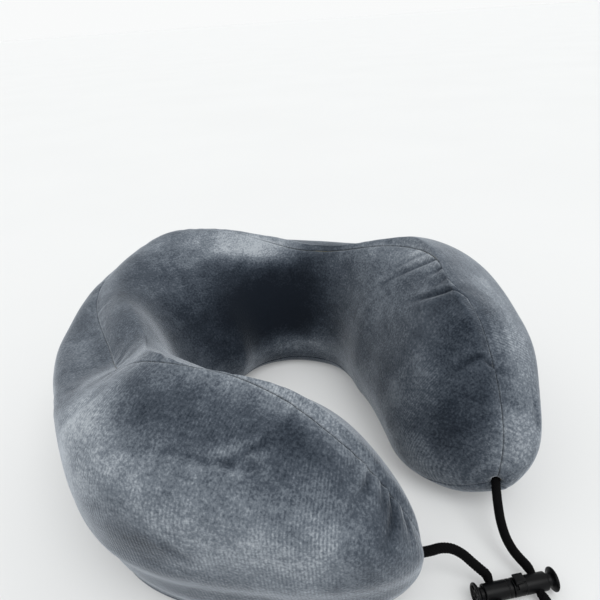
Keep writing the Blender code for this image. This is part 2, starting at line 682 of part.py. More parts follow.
def latch_button():
    """Plate with a window round the stem's neck, and a thumb pad on top."""
    bm = bmesh.new()
    neck_half = 2.1
    pad_from = LATCH_PLACE - 0.6
    pad_half = 2.3
    outline = [
        (-LATCH_HALF_WIDTH, LATCH_FOOT), (LATCH_HALF_WIDTH, LATCH_FOOT), (LATCH_HALF_WIDTH, 2.6),
        (neck_half, 3.4), (neck_half, PAD_UNDER + LATCH_PAD_THICKNESS / 2),
        (-neck_half, PAD_UNDER + LATCH_PAD_THICKNESS / 2), (-neck_half, 3.4), (-LATCH_HALF_WIDTH, 2.6),
    ]
    face = bm.faces.new([bm.verts.new((LATCH_PLACE, y, z)) for y, z in outline])
    pushed = bmesh.ops.extrude_face_region(bm, geom=[face])
    moved = [item for item in pushed["geom"] if isinstance(item, bmesh.types.BMVert)]
    bmesh.ops.translate(bm, verts=moved, vec=(LATCH_THICKNESS, 0.0, 0.0))
    made = add_mesh("latch_button", bm, ACETAL, placed=in_metres(BUCKLE_FRAME))
    pad = bmesh.new()
    box(
        pad, (pad_from, -pad_half, PAD_UNDER),
        (pad_from + LATCH_PAD_LENGTH, pad_half, PAD_UNDER + LATCH_PAD_THICKNESS),
    )
    pad_edges = [edge for edge in pad.edges if min(v.co.z for v in edge.verts) > PAD_UNDER + 0.1]
    bmesh.ops.bevel(pad, geom=pad_edges, offset=0.5, segments=2, profile=0.5, affect="EDGES")
    boolean(made, cutter("latch_pad", pad, in_metres(BUCKLE_FRAME)), "UNION")
    # The stem is caught on the lower edge of this window alone, and is free of its other edges.
    window = bmesh.new()
    half = STEM_HEAD_RADIUS + FIT_GAP
    box(
        window, (LATCH_PLACE - 1.0, -half, -CATCH_REACH),
        (LATCH_PLACE + LATCH_THICKNESS + 1.0, half, LATCH_TRAVEL + half),
    )
    boolean(made, cutter("latch_window", window, in_metres(BUCKLE_FRAME)), "DIFFERENCE")
    return made


def button(name, side, hole_place, barrel_length):
    """Plunger with a slot for the cord, and a flared button outside the barrel."""
    inner_end = hole_place - HOLE_HALF - PLUNGER_END
    neck_end = barrel_length + BUTTON_TRAVEL + 0.2
    rim = neck_end + 0.9
    end = rim + BUTTON_THICKNESS
    profile = [
        (0.0, end - 0.4), (BUTTON_RADIUS - 1.2, end - 0.4), (BUTTON_RADIUS - 1.0, end),
        (BUTTON_RADIUS - 0.2, end), (BUTTON_RADIUS, end - 0.2), (BUTTON_RADIUS, rim),
        (BUTTON_RADIUS - 1.5, neck_end + 0.3), (PLUNGER_RADIUS, neck_end),
        (PLUNGER_RADIUS, inner_end), (0.0, inner_end),
    ]
    turn = Matrix.Rotation(0.0 if side > 0 else math.pi, 4, "Z")
    made = turned(name, profile, ACETAL, BUCKLE_FRAME @ turn @ AXIS_FROM_Z)
    boolean(made, cross_hole(f"{name}_slot", side * hole_place, side * BUTTON_TRAVEL), "DIFFERENCE")
    return made


def spring(name, start, end):
    """A coil spring between two places along the buckle."""
    curve = bpy.data.curves.new(name, "CURVE")
    curve.dimensions = "3D"
    curve.bevel_depth = SPRING_WIRE / 2 * MM
    curve.bevel_resolution = 1
    curve.render_resolution_u = 0
    curve.use_fill_caps = True
    per_turn = 12
    count = SPRING_TURNS * per_turn + 1
    line = curve.splines.new("POLY")
    line.points.add(count - 1)
    for i in range(count):
        angle = 2 * math.pi * i / per_turn
        x = start + (end - start) * i / (count - 1)
        point = Vector((x, SPRING_RADIUS * math.cos(angle), SPRING_RADIUS * math.sin(angle))) * MM
        line.points[i].co = (*point, 1.0)
    curve.materials.append(STEEL)
    made = bpy.data.objects.new(name, curve)
    made.matrix_world = in_metres(BUCKLE_FRAME)
    parts.objects.link(made)
    return made


left_housing()
right_housing()
latch_button()
button("left_button", -1.0, LEFT_HOLE_PLACE, LEFT_BARREL_LENGTH)
button("right_button", 1.0, RIGHT_HOLE_PLACE, RIGHT_BARREL_LENGTH)
SPRING_END_GAP = SPRING_WIRE / 2 + FIT_GAP
spring(
    "left_spring", -LEFT_WALL - SPRING_END_GAP,
    -(LEFT_HOLE_PLACE - HOLE_HALF - PLUNGER_END) + SPRING_END_GAP,
)
spring(
    "right_spring", SOCKET_DEPTH + SOCKET_WALL + SPRING_END_GAP,
    RIGHT_HOLE_PLACE - HOLE_HALF - PLUNGER_END - SPRING_END_GAP,
)


# ---- cords ----
def lock_points(place):
    """Where a cord runs straight through a lock, from its upper side to its lower side."""
    tilt = math.radians(HOLE_TILT)
    across = Vector((0.0, math.cos(tilt), math.sin(tilt)))
    levels = (BARREL_RADIUS + 1.1, BARREL_RADIUS + 0.2, -BARREL_RADIUS - 0.2, -BARREL_RADIUS - 1.1)
    return [BUCKLE_FRAME @ (Vector((place, 0.0, 0.0)) + across * level) for level in levels]


def smooth_route(points):
    """Points read from one smooth curve through the route, about CORD_STEP apart."""
    made = []
    padded = [2 * points[0] - points[1]] + points + [2 * points[-1] - points[-2]]
    for p, q, r, s in zip(padded, padded[1:], padded[2:], padded[3:]):
        count = max(1, round((r - q).length / CORD_STEP * 2))
        for k in range(count):
            u = k / count
            made.append(
                0.5 * (2 * q + (r - p) * u + (2 * p - 5 * q + 4 * r - s) * u**2
                       + (3 * q - p - 3 * r + s) * u**3)
            )
    return made + [points[-1]]


def cord(name, route, tail, place):
    """A tube along the route, squeezed where the lock grips it."""
    lock = lock_points(place)
    outer = smooth_route([Vector(p) for p in route] + [lock[0]])
    rest = smooth_route([lock[3]] + [Vector(p) for p in tail])
    points = outer + lock[1:3] + rest
    curve = bpy.data.curves.new(name, "CURVE")
    curve.dimensions = "3D"
    curve.bevel_depth = CORD_DIAMETER / 2 * MM
    curve.bevel_resolution = 2
    curve.render_resolution_u = 0
    curve.use_fill_caps = True
    line = curve.splines.new("POLY")
    line.points.add(len(points) - 1)
    squeezed = CORD_SQUEEZED_DIAMETER / CORD_DIAMETER
    for i, point in enumerate(points):
        line.points[i].co = (*(point * MM), 1.0)
        if len(outer) - 1 <= i <= len(outer) + 2:
            line.points[i].radius = squeezed
    curve.materials.append(BRAID)
    made = bpy.data.objects.new(name, curve)
    parts.objects.link(made)
    return made


def knot(name, tail):
    """The knot at the end of a cord, as one rounded solid."""
    end, before = Vector(tail[-1]), Vector(tail[-2])
    heading = (end - before).normalized()
    centre = end + heading * (KNOT_LENGTH / 2 + FIT_GAP)
    centre.z = KNOT_RADIUS + 0.1
    bm = bmesh.new()
    flat = Vector((heading.x, heading.y, 0.0)).normalized()
    turn = flat.to_track_quat("X", "Z").to_matrix().to_4x4()
    shape = Matrix.Diagonal((KNOT_LENGTH / 2, KNOT_RADIUS, KNOT_RADIUS, 1.0))
    bmesh.ops.create_uvsphere(bm, u_segments=12, v_segments=8, radius=1.0, matrix=turn @ shape)
    return add_mesh(name, bm, BRAID, placed=Matrix.Translation(centre * MM))


cord("left_cord", LEFT_ROUTE, LEFT_TAIL, -LEFT_HOLE_PLACE)
cord("right_cord", RIGHT_ROUTE, RIGHT_TAIL, RIGHT_HOLE_PLACE)
knot("left_cord_knot", LEFT_TAIL)
knot("right_cord_knot", RIGHT_TAIL)
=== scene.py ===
"""Looks of the U shaped travel neck pillow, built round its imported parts.

The cover is a crushed velour skin in three sewn panels over a foam core. It has a coil zip
round the nape and two braided cords that meet in a snap buckle with a sprung lock at each end.
Shapes are drawn in millimetres, and MM turns them into metres when a mesh is made.
"""

import itertools
import math

import bmesh
import bpy
import numpy as np
from mathutils import Matrix, Vector


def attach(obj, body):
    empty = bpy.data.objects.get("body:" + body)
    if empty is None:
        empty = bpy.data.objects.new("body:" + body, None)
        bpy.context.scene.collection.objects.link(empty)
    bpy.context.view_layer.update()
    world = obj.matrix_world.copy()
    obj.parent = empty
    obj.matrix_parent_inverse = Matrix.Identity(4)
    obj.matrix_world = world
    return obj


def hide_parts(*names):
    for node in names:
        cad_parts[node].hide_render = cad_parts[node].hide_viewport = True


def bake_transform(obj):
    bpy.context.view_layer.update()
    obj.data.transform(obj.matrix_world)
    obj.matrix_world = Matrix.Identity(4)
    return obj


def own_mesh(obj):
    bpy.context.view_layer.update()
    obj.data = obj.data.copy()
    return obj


MM = 0.001
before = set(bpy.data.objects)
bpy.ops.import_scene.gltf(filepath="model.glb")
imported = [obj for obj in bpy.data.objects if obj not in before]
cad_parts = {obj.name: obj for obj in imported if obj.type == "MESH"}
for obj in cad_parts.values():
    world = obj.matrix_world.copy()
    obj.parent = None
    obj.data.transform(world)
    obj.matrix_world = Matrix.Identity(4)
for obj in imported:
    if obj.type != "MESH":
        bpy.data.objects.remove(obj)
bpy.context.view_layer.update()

# ---- the pillow's centreline, half of it, from the nape to a tip ----
NAPE_ARC_RADIUS = 84.0
NAPE_ARC_LENGTH = 95.0
ARM_ARC_LENGTH = 214.0
ARM_ARC_TURN = 1.320988
ARM_ARC_RADIUS = ARM_ARC_LENGTH / ARM_ARC_TURN
HALF_LENGTH = NAPE_ARC_LENGTH + ARM_ARC_LENGTH
PLAN_SHIFT = 17.91951

# ---- its section at six stations, from the nape (0) to a tip (1) ----
STATIONS = np.array([0.0, 0.2, 0.4, 0.6, 0.8, 1.0])
CREST_HEIGHT = np.array([107.0, 99.0, 104.5, 113.5, 104.5, 76.0])
CREST_OFFSET = np.array([16.5, 2.0, -9.5, -3.5, -16.5, -8.5])
INNER_HALF_WIDTH = np.array([58.0, 42.0, 28.0, 48.0, 54.5, 54.5])
OUTER_HALF_WIDTH = np.array([42.5, 42.5, 42.5, 52.0, 35.0, 24.0])
SEAM_OFFSET = np.array([39.0, 26.5, 10.5, 9.5, -6.0, 5.5])
SEAM_HEIGHT_SHARE = np.array([0.96, 0.905, 0.84, 1.035, 1.035, 0.92])
TIP_LENGTH = 56.0
TIP_FULLNESS = 2.6
TIP_HEIGHT_SHARE = 0.333
HOLE_RADIUS = 3.0
# The top seam wanders over the crest: share along the pillow, and its place round the section.
TOP_SEAM_LINE = np.array([
    (-1.0, 4.0), (-0.965, 3.95), (-0.93, 3.84), (-0.885, 4.05), (-0.83, 4.05), (-0.745, 3.87), (-0.69, 3.58),
    (-0.65, 3.66), (-0.59, 4.0), (-0.5, 4.1), (-0.4, 4.02), (-0.29, 3.88), (-0.18, 4.0), (-0.1, 4.1),
    (0.0, 3.9), (0.1, 3.3), (0.21, 2.88), (0.29, 2.7), (0.38, 2.66), (0.45, 2.78), (0.54, 2.94), (0.62, 3.05),
    (0.7, 3.34), (0.785, 3.97), (0.84, 4.08), (0.91, 4.0), (1.0, 4.0),
])
LOWER_OUTER_SEAM = 8.4
LOWER_INNER_SEAM = 0.38

# ---- zip ----
ZIP_HALF_ANGLE = 0.90
ZIP_HEIGHT = 20.5
ZIP_TAPE_WIDTH = 5.0
ZIP_COIL_GAP = 1.0
ZIP_TAPE_DEPTH = 0.9
ZIP_TAPE_THICKNESS = 0.6
ZIP_WINDOW_HALF = ZIP_TAPE_WIDTH + ZIP_COIL_GAP / 2 + 0.3
# Distance from the middle of the nape's arc to the outer wall and to the zip's tape.
ZIP_WALL_RADIUS = 129.0
ZIP_TAPE_RADIUS = 123.0

# ---- cords and buckle ----
CORD_DIAMETER = 4.6
CORD_SQUEEZED_DIAMETER = 3.8
BUCKLE_CENTRE = (-5.2, -173.2, 5.7)
BUCKLE_TURN = -31.7
HOLE_TILT = 15.0
HOLE_HALF = CORD_SQUEEZED_DIAMETER / 2 + 0.3
BARREL_RADIUS = 4.3
GROOVE_RADIUS = 4.12
BORE_RADIUS = 3.4
PLUNGER_RADIUS = 3.1
LEFT_BARREL_LENGTH = 14.0
RIGHT_BARREL_LENGTH = 17.8
LEFT_HOLE_PLACE = 8.8
RIGHT_HOLE_PLACE = 12.8
BUTTON_TRAVEL = 2.0
BUTTON_RADIUS = 5.6
BUTTON_THICKNESS = 1.1
SPRING_RADIUS = 2.5
WIRE_RADIUS = 0.2
LEFT_ROUTE = [
    (-35.6, -137.8, 25.3), (-32.5, -140.3, 25.2), (-28.2, -142.8, 24.9), (-23.0, -145.0, 24.0),
    (-18.2, -148.0, 21.8), (-14.6, -151.8, 18.2), (-12.2, -155.8, 14.0), (-10.5, -159.3, 10.9),
    (-9.3, -162.2, 8.6),
]
LEFT_TAIL = [(-15.6, -173.6, 4.0), (-17.6, -177.6, 2.9), (-19.9, -182.2, 2.6)]
RIGHT_ROUTE = [
    (35.6, -137.8, 25.3), (32.5, -140.3, 25.2), (27.9, -143.6, 24.2), (22.4, -148.2, 20.8),
    (17.3, -153.4, 16.2), (13.4, -159.0, 12.2), (11.0, -164.4, 9.9), (9.9, -169.0, 8.7),
    (9.3, -172.6, 8.0),
]
RIGHT_TAIL = [(2.9, -185.0, 4.1), (1.5, -188.8, 3.0), (-0.4, -193.2, 2.6)]


# ---- materials ----
def colour(text):
    """Linear colour of an sRGB hex value."""
    parts = [int(text[i:i + 2], 16) / 255 for i in (1, 3, 5)]
    linear = [c / 12.92 if c <= 0.04045 else ((c + 0.055) / 1.055) ** 2.4 for c in parts]
    return (*linear, 1.0)


def lumps(size_mm):
    """Scale of a noise whose lumps are about this size, on coordinates in metres."""
    return 1000.0 / size_mm


def bands(spacing_mm):
    """Scale of a wave texture whose bands are this far apart, on coordinates in metres."""
    return 2.0 * math.pi / 20.0 * 1000.0 / spacing_mm


def set_inputs(tree, node, inputs):
    """Link each input that is given a socket, and set each that is given a value."""
    for key, value in inputs.items():
        if isinstance(value, bpy.types.NodeSocket):
            tree.links.new(value, node.inputs[key])
        else:
            node.inputs[key].default_value = value
    return node.outputs


def add_node(tree, kind, settings=None, inputs=None):
    """Add a node with its settings and inputs, and give back its outputs. The stops of a colour
    ramp are (place, hex colour)."""
    made = tree.nodes.new(kind)
    for key, value in (settings or {}).items():
        if key != "stops":
            setattr(made, key, value)
            continue
        elements = made.color_ramp.elements
        while len(elements) < len(value):
            elements.new(0.5)
        for element, (place, text) in zip(elements, value):
            element.position = place
            element.color = colour(text)
    return set_inputs(tree, made, inputs or {})


def new_material(name, constants):
    """A material with one Principled shader whose constants are set on its own sockets."""
    made = bpy.data.materials.new(name)
    made.use_nodes = True
    shader = made.node_tree.nodes["Principled BSDF"]
    set_inputs(made.node_tree, shader, constants)
    return made, made.node_tree, shader


def dress(tree, shader, tint, relief=None, gloss=None):
    """Give a shader its patterns: tint is (pattern, stops), relief is (pattern, strength, depth in
    millimetres), and gloss is (pattern, lowest roughness, highest roughness)."""
    tone = add_node(tree, "ShaderNodeValToRGB", {"stops": tint[1]}, {"Fac": tint[0]})
    inputs = {"Base Color": tone["Color"]}
    if relief:
        pattern, strength, depth = relief
        bump = add_node(tree, "ShaderNodeBump", None, {
            "Height": pattern, "Strength": strength, "Distance": depth * MM,
        })
        inputs["Normal"] = bump["Normal"]
    if gloss:
        pattern, low, high = gloss
        rough = add_node(tree, "ShaderNodeMapRange", None, {"Value": pattern, "To Min": low, "To Max": high})
        inputs["Roughness"] = rough["Result"]
    set_inputs(tree, shader, inputs)


def velour():
    """Crushed polyester velour: a cut pile that is pale where it leans away and dark where it
    stands up, with the knitted rows of its backing showing through as fine lines."""
    made, tree, shader = new_material("slate_crushed_velour", {
        "Roughness": 0.85, "IOR": 1.5, "Specular IOR Level": 0.12, "Sheen Weight": 0.85,
        "Sheen Roughness": 0.36, "Sheen Tint": colour("#cdd3da"),
    })
    place = add_node(tree, "ShaderNodeTexCoord")
    flat, solid = place["UV"], place["Object"]
    # The pile value from the skin also carries painted sheen, bounce light and shade.
    lean = add_node(tree, "ShaderNodeAttribute", {"attribute_name": "pile_lean"})["Fac"]
    brushed = add_node(tree, "ShaderNodeTexNoise", None, {
        "Vector": solid, "Scale": lumps(38.0), "Detail": 3.0, "Roughness": 0.55, "Distortion": 0.6,
    })["Fac"]
    smudged = add_node(tree, "ShaderNodeTexNoise", None, {
        "Vector": solid, "Scale": lumps(11.0), "Detail": 4.0, "Roughness": 0.62, "Distortion": 0.5,
    })["Fac"]
    long_way = add_node(tree, "ShaderNodeMapping", None, {
        "Vector": flat, "Rotation": (0.0, 0.0, 0.55), "Scale": (0.22, 1.0, 1.0),
    })["Vector"]
    streaks = add_node(tree, "ShaderNodeTexNoise", None, {
        "Vector": long_way, "Scale": lumps(3.4), "Detail": 3.0, "Roughness": 0.6, "Distortion": 0.2,
    })["Fac"]
    tufts = add_node(tree, "ShaderNodeTexNoise", None, {
        "Vector": solid, "Scale": lumps(1.3), "Roughness": 0.75,
    })["Fac"]
    # Knitted rows are about 0.5 mm apart, and are drawn at 1.25 mm so that they show.
    rows = add_node(tree, "ShaderNodeTexWave", {"bands_direction": "X"}, {
        "Vector": flat, "Scale": bands(1.25), "Distortion": 0.7, "Detail": 2.0, "Detail Scale": 1.5,
    })["Fac"]
    # They show only where the pile has been brushed pale.
    row_weight = add_node(tree, "ShaderNodeMapRange", None, {
        "Value": brushed, "From Min": 0.42, "From Max": 0.7325, "To Max": 0.15,
    })["Result"]
    paleness = lean
    weights = ((brushed, 0.48), (smudged, 0.40), (streaks, 0.22), (tufts, 0.72), (rows, row_weight))
    for pattern, weight in weights:
        either_way = add_node(tree, "ShaderNodeMath", {"operation": "SUBTRACT"}, {0: pattern, 1: 0.5})[0]
        paleness = add_node(tree, "ShaderNodeMath", {"operation": "MULTIPLY_ADD"}, {
            0: either_way, 1: weight, 2: paleness,
        })[0]
    height = 0.0
    for pattern, weight in ((tufts, 0.7), (rows, 0.16), (streaks, 0.5)):
        height = add_node(tree, "ShaderNodeMath", {"operation": "MULTIPLY_ADD"}, {
            0: pattern, 1: weight, 2: height,
        })[0]
    stops = [(0.0, "#0e151e"), (0.27, "#262d36"), (0.5, "#434a53"), (0.74, "#6b727a"), (1.0, "#a0a6ac")]
    dress(tree, shader, (paleness, stops), (height, 0.55, 0.7))
    return made


def foam():
    """Slow foam: pale, matt and open celled."""
    made, tree, shader = new_material("memory_foam", {"Roughness": 0.95, "Specular IOR Level": 0.2})
    solid = add_node(tree, "ShaderNodeTexCoord")["Object"]
    cells = add_node(tree, "ShaderNodeTexVoronoi", None, {"Vector": solid, "Scale": lumps(1.2)})["Distance"]
    patches = add_node(tree, "ShaderNodeTexNoise", None, {
        "Vector": solid, "Scale": lumps(14.0), "Detail": 3.0,
    })["Fac"]
    dress(tree, shader, (patches, [(0.3, "#dccf9f"), (0.7, "#ece2bd")]), (cells, 0.5, 0.5))
    return made


def tape():
    """Woven polyester tape: a fine twill across its width."""
    made, tree, shader = new_material("zip_tape_twill", {
        "Roughness": 0.8, "Specular IOR Level": 0.25, "Sheen Weight": 0.2, "Sheen Tint": colour("#8d959d"),
    })
    flat = add_node(tree, "ShaderNodeTexCoord")["UV"]
    # Yarns 0.45 mm apart, laid at 45 degrees.
    turned = add_node(tree, "ShaderNodeMapping", None, {
        "Vector": flat, "Rotation": (0.0, 0.0, 0.785),
    })["Vector"]
    wale = add_node(tree, "ShaderNodeTexWave", {"bands_direction": "X"}, {
        "Vector": turned, "Scale": bands(0.45), "Distortion": 0.4, "Detail": 1.0,
    })["Fac"]
    dress(tree, shader, (wale, [(0.0, "#23282e"), (1.0, "#444b53")]), (wale, 0.5, 0.2))
    return made


def nylon():
    """Drawn nylon wire: half gloss, dyed with the cloth."""
    made, tree, shader = new_material("zip_coil_nylon", {"Roughness": 0.34, "IOR": 1.53, "Coat Weight": 0.15})
    solid = add_node(tree, "ShaderNodeTexCoord")["Object"]
    dye = add_node(tree, "ShaderNodeTexNoise", None, {"Vector": solid, "Scale": lumps(3.0)})["Fac"]
    dress(tree, shader, (dye, [(0.3, "#1c2127"), (0.7, "#2c3239")]))
    return made


def thread():
    """Spun polyester sewing thread, a shade darker than the pile."""
    made, tree, shader = new_material("sewing_thread", {"Roughness": 0.7, "Sheen Weight": 0.3})
    solid = add_node(tree, "ShaderNodeTexCoord")["Object"]
    ply = add_node(tree, "ShaderNodeTexNoise", None, {"Vector": solid, "Scale": lumps(0.5)})["Fac"]
    dress(tree, shader, (ply, [(0.3, "#2b3138"), (0.7, "#454c54")]), (ply, 0.3, 0.1))
    return made


def zinc():
    """Die cast zinc with a gunmetal plating, rubbed brighter in places."""
    made, tree, shader = new_material("gunmetal_plated_zinc", {"Metallic": 1.0})
    solid = add_node(tree, "ShaderNodeTexCoord")["Object"]
    rubbed = add_node(tree, "ShaderNodeTexNoise", None, {
        "Vector": solid, "Scale": lumps(2.6), "Detail": 4.0, "Roughness": 0.6,
    })["Fac"]
    grain = add_node(tree, "ShaderNodeTexNoise", None, {"Vector": solid, "Scale": lumps(0.3)})["Fac"]
    stops = [(0.35, "#4c4f54"), (0.7, "#85888c")]
    dress(tree, shader, (rubbed, stops), (grain, 0.12, 0.1), (rubbed, 0.24, 0.42))
    return made


def braid():
    """Braided polyester cord, dyed black: soft yarns with a faint sheen."""
    made, tree, shader = new_material("black_polyester_braid", {
        "Roughness": 0.8, "Specular IOR Level": 0.08, "Sheen Weight": 0.02, "Sheen Tint": colour("#5a5d62"),
    })
    place = add_node(tree, "ShaderNodeTexCoord")
    # Filaments 0.25 mm apart run along each yarn.
    lengthwise = add_node(tree, "ShaderNodeMapping", None, {"Vector": place["UV"], "Scale": (0.25, 1.0, 1.0)})
    filaments = add_node(tree, "ShaderNodeTexNoise", None, {
        "Vector": lengthwise["Vector"], "Scale": lumps(0.25), "Detail": 1.0,
    })["Fac"]
    dye = add_node(tree, "ShaderNodeTexNoise", None, {
        "Vector": place["Object"], "Scale": lumps(4.0), "Detail": 3.0,
    })["Fac"]
    dress(tree, shader, (dye, [(0.3, "#020203"), (0.75, "#060607")]), (filaments, 0.35, 0.2))
    return made


def acetal():
    """Moulded black acetal: satin skin with a very fine spark texture and rubbed rims."""
    made, tree, shader = new_material("moulded_black_acetal", {"IOR": 1.48, "Specular IOR Level": 0.14})
    solid = add_node(tree, "ShaderNodeTexCoord")["Object"]
    worn = add_node(tree, "ShaderNodeTexNoise", None, {
        "Vector": solid, "Scale": lumps(3.5), "Detail": 4.0, "Roughness": 0.6,
    })["Fac"]
    # Spark texture of the mould is about 0.12 mm, and is drawn at 0.25 mm.
    grit = add_node(tree, "ShaderNodeTexNoise", None, {"Vector": solid, "Scale": lumps(0.25)})["Fac"]
    stops = [(0.3, "#050506"), (0.8, "#0d0e10")]
    dress(tree, shader, (worn, stops), (grit, 0.1, 0.1), (worn, 0.26, 0.44))
    return made


def steel():
    """Drawn spring wire: bright, with faint die lines."""
    made, tree, shader = new_material("drawn_spring_wire", {"Metallic": 1.0})
    solid = add_node(tree, "ShaderNodeTexCoord")["Object"]
    drawn = add_node(tree, "ShaderNodeTexNoise", None, {"Vector": solid, "Scale": lumps(0.6)})["Fac"]
    dress(tree, shader, (drawn, [(0.3, "#9a9b9d"), (0.7, "#c6c7c9")]), gloss=(drawn, 0.18, 0.34))
    return made


VELOUR = velour()
FOAM = foam()
TAPE = tape()
NYLON = nylon()
THREAD = thread()
ZINC = zinc()
BRAID = braid()
ACETAL = acetal()
STEEL = steel()


# ---- meshes ----
def in_scene(name, data):
    """A new object in the scene, at the origin."""
    made = bpy.data.objects.new(name, data)
    bpy.context.scene.collection.objects.link(made)
    return made


def mesh_object(name, points_mm, faces, finish):
    """An object at the origin from points in millimetres, made straight into a mesh."""
    mesh = bpy.data.meshes.new(name)
    points = np.asarray(points_mm, np.float32) * MM
    faces = np.asarray(faces, np.int32)
    mesh.vertices.add(len(points))
    mesh.vertices.foreach_set("co", points.ravel())
    mesh.loops.add(faces.size)
    mesh.loops.foreach_set("vertex_index", faces.ravel())
    mesh.polygons.add(len(faces))
    mesh.polygons.foreach_set("loop_start", np.arange(0, faces.size, faces.shape[1], dtype=np.int32))
    mesh.polygons.foreach_set("use_smooth", np.ones(len(faces), bool))
    mesh.update(calc_edges=True)
    mesh.validate()
    mesh.materials.append(finish)
    return in_scene(name, mesh)


def set_uv(made, uv_of_vertex):
    """UVs in metres from one value for each vertex."""
    mesh = made.data
    corner = np.zeros(len(mesh.loops), np.int32)
    mesh.loops.foreach_get("vertex_index", corner)
    layer = mesh.uv_layers.new(name="flat")
    layer.uv.foreach_set("vector", np.asarray(uv_of_vertex, np.float32)[corner].ravel())


def set_value(made, name, values):
    """A named number on every vertex, for a material to read."""
    layer = made.data.attributes.new(name, "FLOAT", "POINT")
    layer.data.foreach_set("value", np.asarray(values, np.float32))


def evaluated_mesh(made):
    """The plain mesh that an object's modifiers give."""
    bpy.context.view_layer.update()
    graph = bpy.context.evaluated_depsgraph_get()
    return bpy.data.meshes.new_from_object(made.evaluated_get(graph))


def settled(made):
    """The object with its modifiers turned into plain mesh."""
    mesh = evaluated_mesh(made)
    made.modifiers.clear()
    made.data = mesh
    return made


def closed_tube(name, points, finish, uv=None):
    """A tube with closed ends, from its rings of points in millimetres: (rings, around, 3)."""
    index = np.arange(points[..., 0].size).reshape(points.shape[:2])
    turned = np.roll(index, -1, axis=1)
    faces = np.stack([index[:-1], turned[:-1], turned[1:], index[1:]], -1).reshape(-1, 4)
    made = mesh_object(name, points.reshape(-1, 3), faces, finish)
    if uv is not None:
        set_uv(made, uv.reshape(-1, 2))
    work = bmesh.new()
    work.from_mesh(made.data)
    bmesh.ops.holes_fill(work, edges=[e for e in work.edges if e.is_boundary], sides=0)
    bmesh.ops.recalc_face_normals(work, faces=work.faces)
    work.to_mesh(made.data)
    work.free()
    return made


def between(p, q, r, s, u):
    """The point at u on the smooth curve from q to r, whose neighbours are p and s."""
    return 0.5 * (
        2 * q + (r - p) * u + (2 * p - 5 * q + 4 * r - s) * u**2 + (3 * q - p - 3 * r + s) * u**3
    )


def soft_noise(points, size, seed):
    """Smooth random values from -1 to 1 with lumps of about this size in millimetres."""
    table = np.random.default_rng(seed).uniform(-1.0, 1.0, (32, 32, 32))
    spot = points / size + 400.0
    cell = np.floor(spot).astype(int)
    part = spot - cell
    part = part * part * (3.0 - 2.0 * part)
    total = np.zeros(points.shape[:-1])
    for step in itertools.product((0, 1), repeat=3):
        weight = np.prod(np.where(np.array(step) == 1, part, 1.0 - part), axis=-1)
        at = (cell + np.array(step)) % 32
        total += weight * table[at[..., 0], at[..., 1], at[..., 2]]
    return total


# ---- the cover's skin, as a function of place along it and round it ----
def along(values, share):
    """A section value at shares of the way from the nape to the tip."""
    steps = np.diff(STATIONS)
    rises = np.diff(values) / steps
    slopes = np.zeros(len(values))
    for i in range(1, len(values) - 1):
        if rises[i - 1] * rises[i] > 0:
            before = 2 * steps[i] + steps[i - 1]
            after = steps[i] + 2 * steps[i - 1]
            slopes[i] = (before + after) / (before / rises[i - 1] + after / rises[i])
    slopes[-1] = rises[-1]
    i = np.clip(np.searchsorted(STATIONS, share, side="right") - 1, 0, len(STATIONS) - 2)
    step = STATIONS[i + 1] - STATIONS[i]
    u = (share - STATIONS[i]) / step
    return (
        (2 * u**3 - 3 * u**2 + 1) * values[i] + (u**3 - 2 * u**2 + u) * step * slopes[i]
        + (3 * u**2 - 2 * u**3) * values[i + 1] + (u**3 - u**2) * step * slopes[i + 1]
    )


def centreline(share):
    """Plan position and outward direction at shares along one half."""
    length = share * HALF_LENGTH
    join = NAPE_ARC_LENGTH / NAPE_ARC_RADIUS
    shift = NAPE_ARC_RADIUS - ARM_ARC_RADIUS
    arm = np.maximum(length - NAPE_ARC_LENGTH, 0.0) / ARM_ARC_RADIUS
    turn = np.minimum(length, NAPE_ARC_LENGTH) / NAPE_ARC_RADIUS + arm
    radius = np.where(arm > 0, ARM_ARC_RADIUS, NAPE_ARC_RADIUS)
    x = radius * np.sin(turn) + np.where(arm > 0, shift * math.sin(join), 0.0)
    y = radius * np.cos(turn) + np.where(arm > 0, shift * math.cos(join), 0.0)
    return x, y, turn


def rings(share):
    """The ten points that each section runs through: outward offset and height."""
    height = along(CREST_HEIGHT, share)
    inner = along(INNER_HALF_WIDTH, share)
    outer = along(OUTER_HALF_WIDTH, share)
    crest = along(CREST_OFFSET, share)
    none = np.zeros_like(height)
    across = np.stack([
        -inner * 0.62, -inner, -inner * 0.62 + crest * 0.38, crest, along(SEAM_OFFSET, share),
        outer - 0.5, outer + 3.5, outer - 1.5, outer - 6.0, outer - 17.0,
    ], -1)
    level = np.stack([
        none, 0.30 * height, 0.72 * height, height, along(SEAM_HEIGHT_SHARE, share) * height,
        0.79 * height, none + 48.0, none + 29.0, none + 12.0, none,
    ], -1)
    left = np.maximum(share * HALF_LENGTH - (HALF_LENGTH - TIP_LENGTH), 0.0) / TIP_LENGTH
    scale = np.sqrt(np.maximum(1.0 - left**TIP_FULLNESS, 0.0))[:, None]
    middle = (TIP_HEIGHT_SHARE * height)[:, None]
    up = level - middle
    grow = scale + HOLE_RADIUS * (1.0 - scale) / np.hypot(across, up)
    return np.stack([across * grow, middle + up * grow], -1)


def raw_skin(shares, places):
    """Points of the outside: shares (n,) and places (n, m) give (n, m, 3), in millimetres."""
    share = np.minimum(np.abs(shares), 1.0)
    ring = rings(share)
    x, y, turn = centreline(share)
    i = np.floor(places).astype(int)
    u = (places - i)[..., None]
    row = np.arange(len(shares))[:, None]
    p, q, r, s = (ring[row, (i + k) % 10] for k in (-1, 0, 1, 2))
    point = between(p, q, r, s, u)
    offset = point[..., 0]
    side = np.where(shares < 0, -1.0, 1.0)[:, None]
    return np.stack([
        side * (x[:, None] + np.sin(turn)[:, None] * offset),
        y[:, None] + np.cos(turn)[:, None] * offset + PLAN_SHIFT,
        np.maximum(point[..., 1], 0.0),
    ], -1)


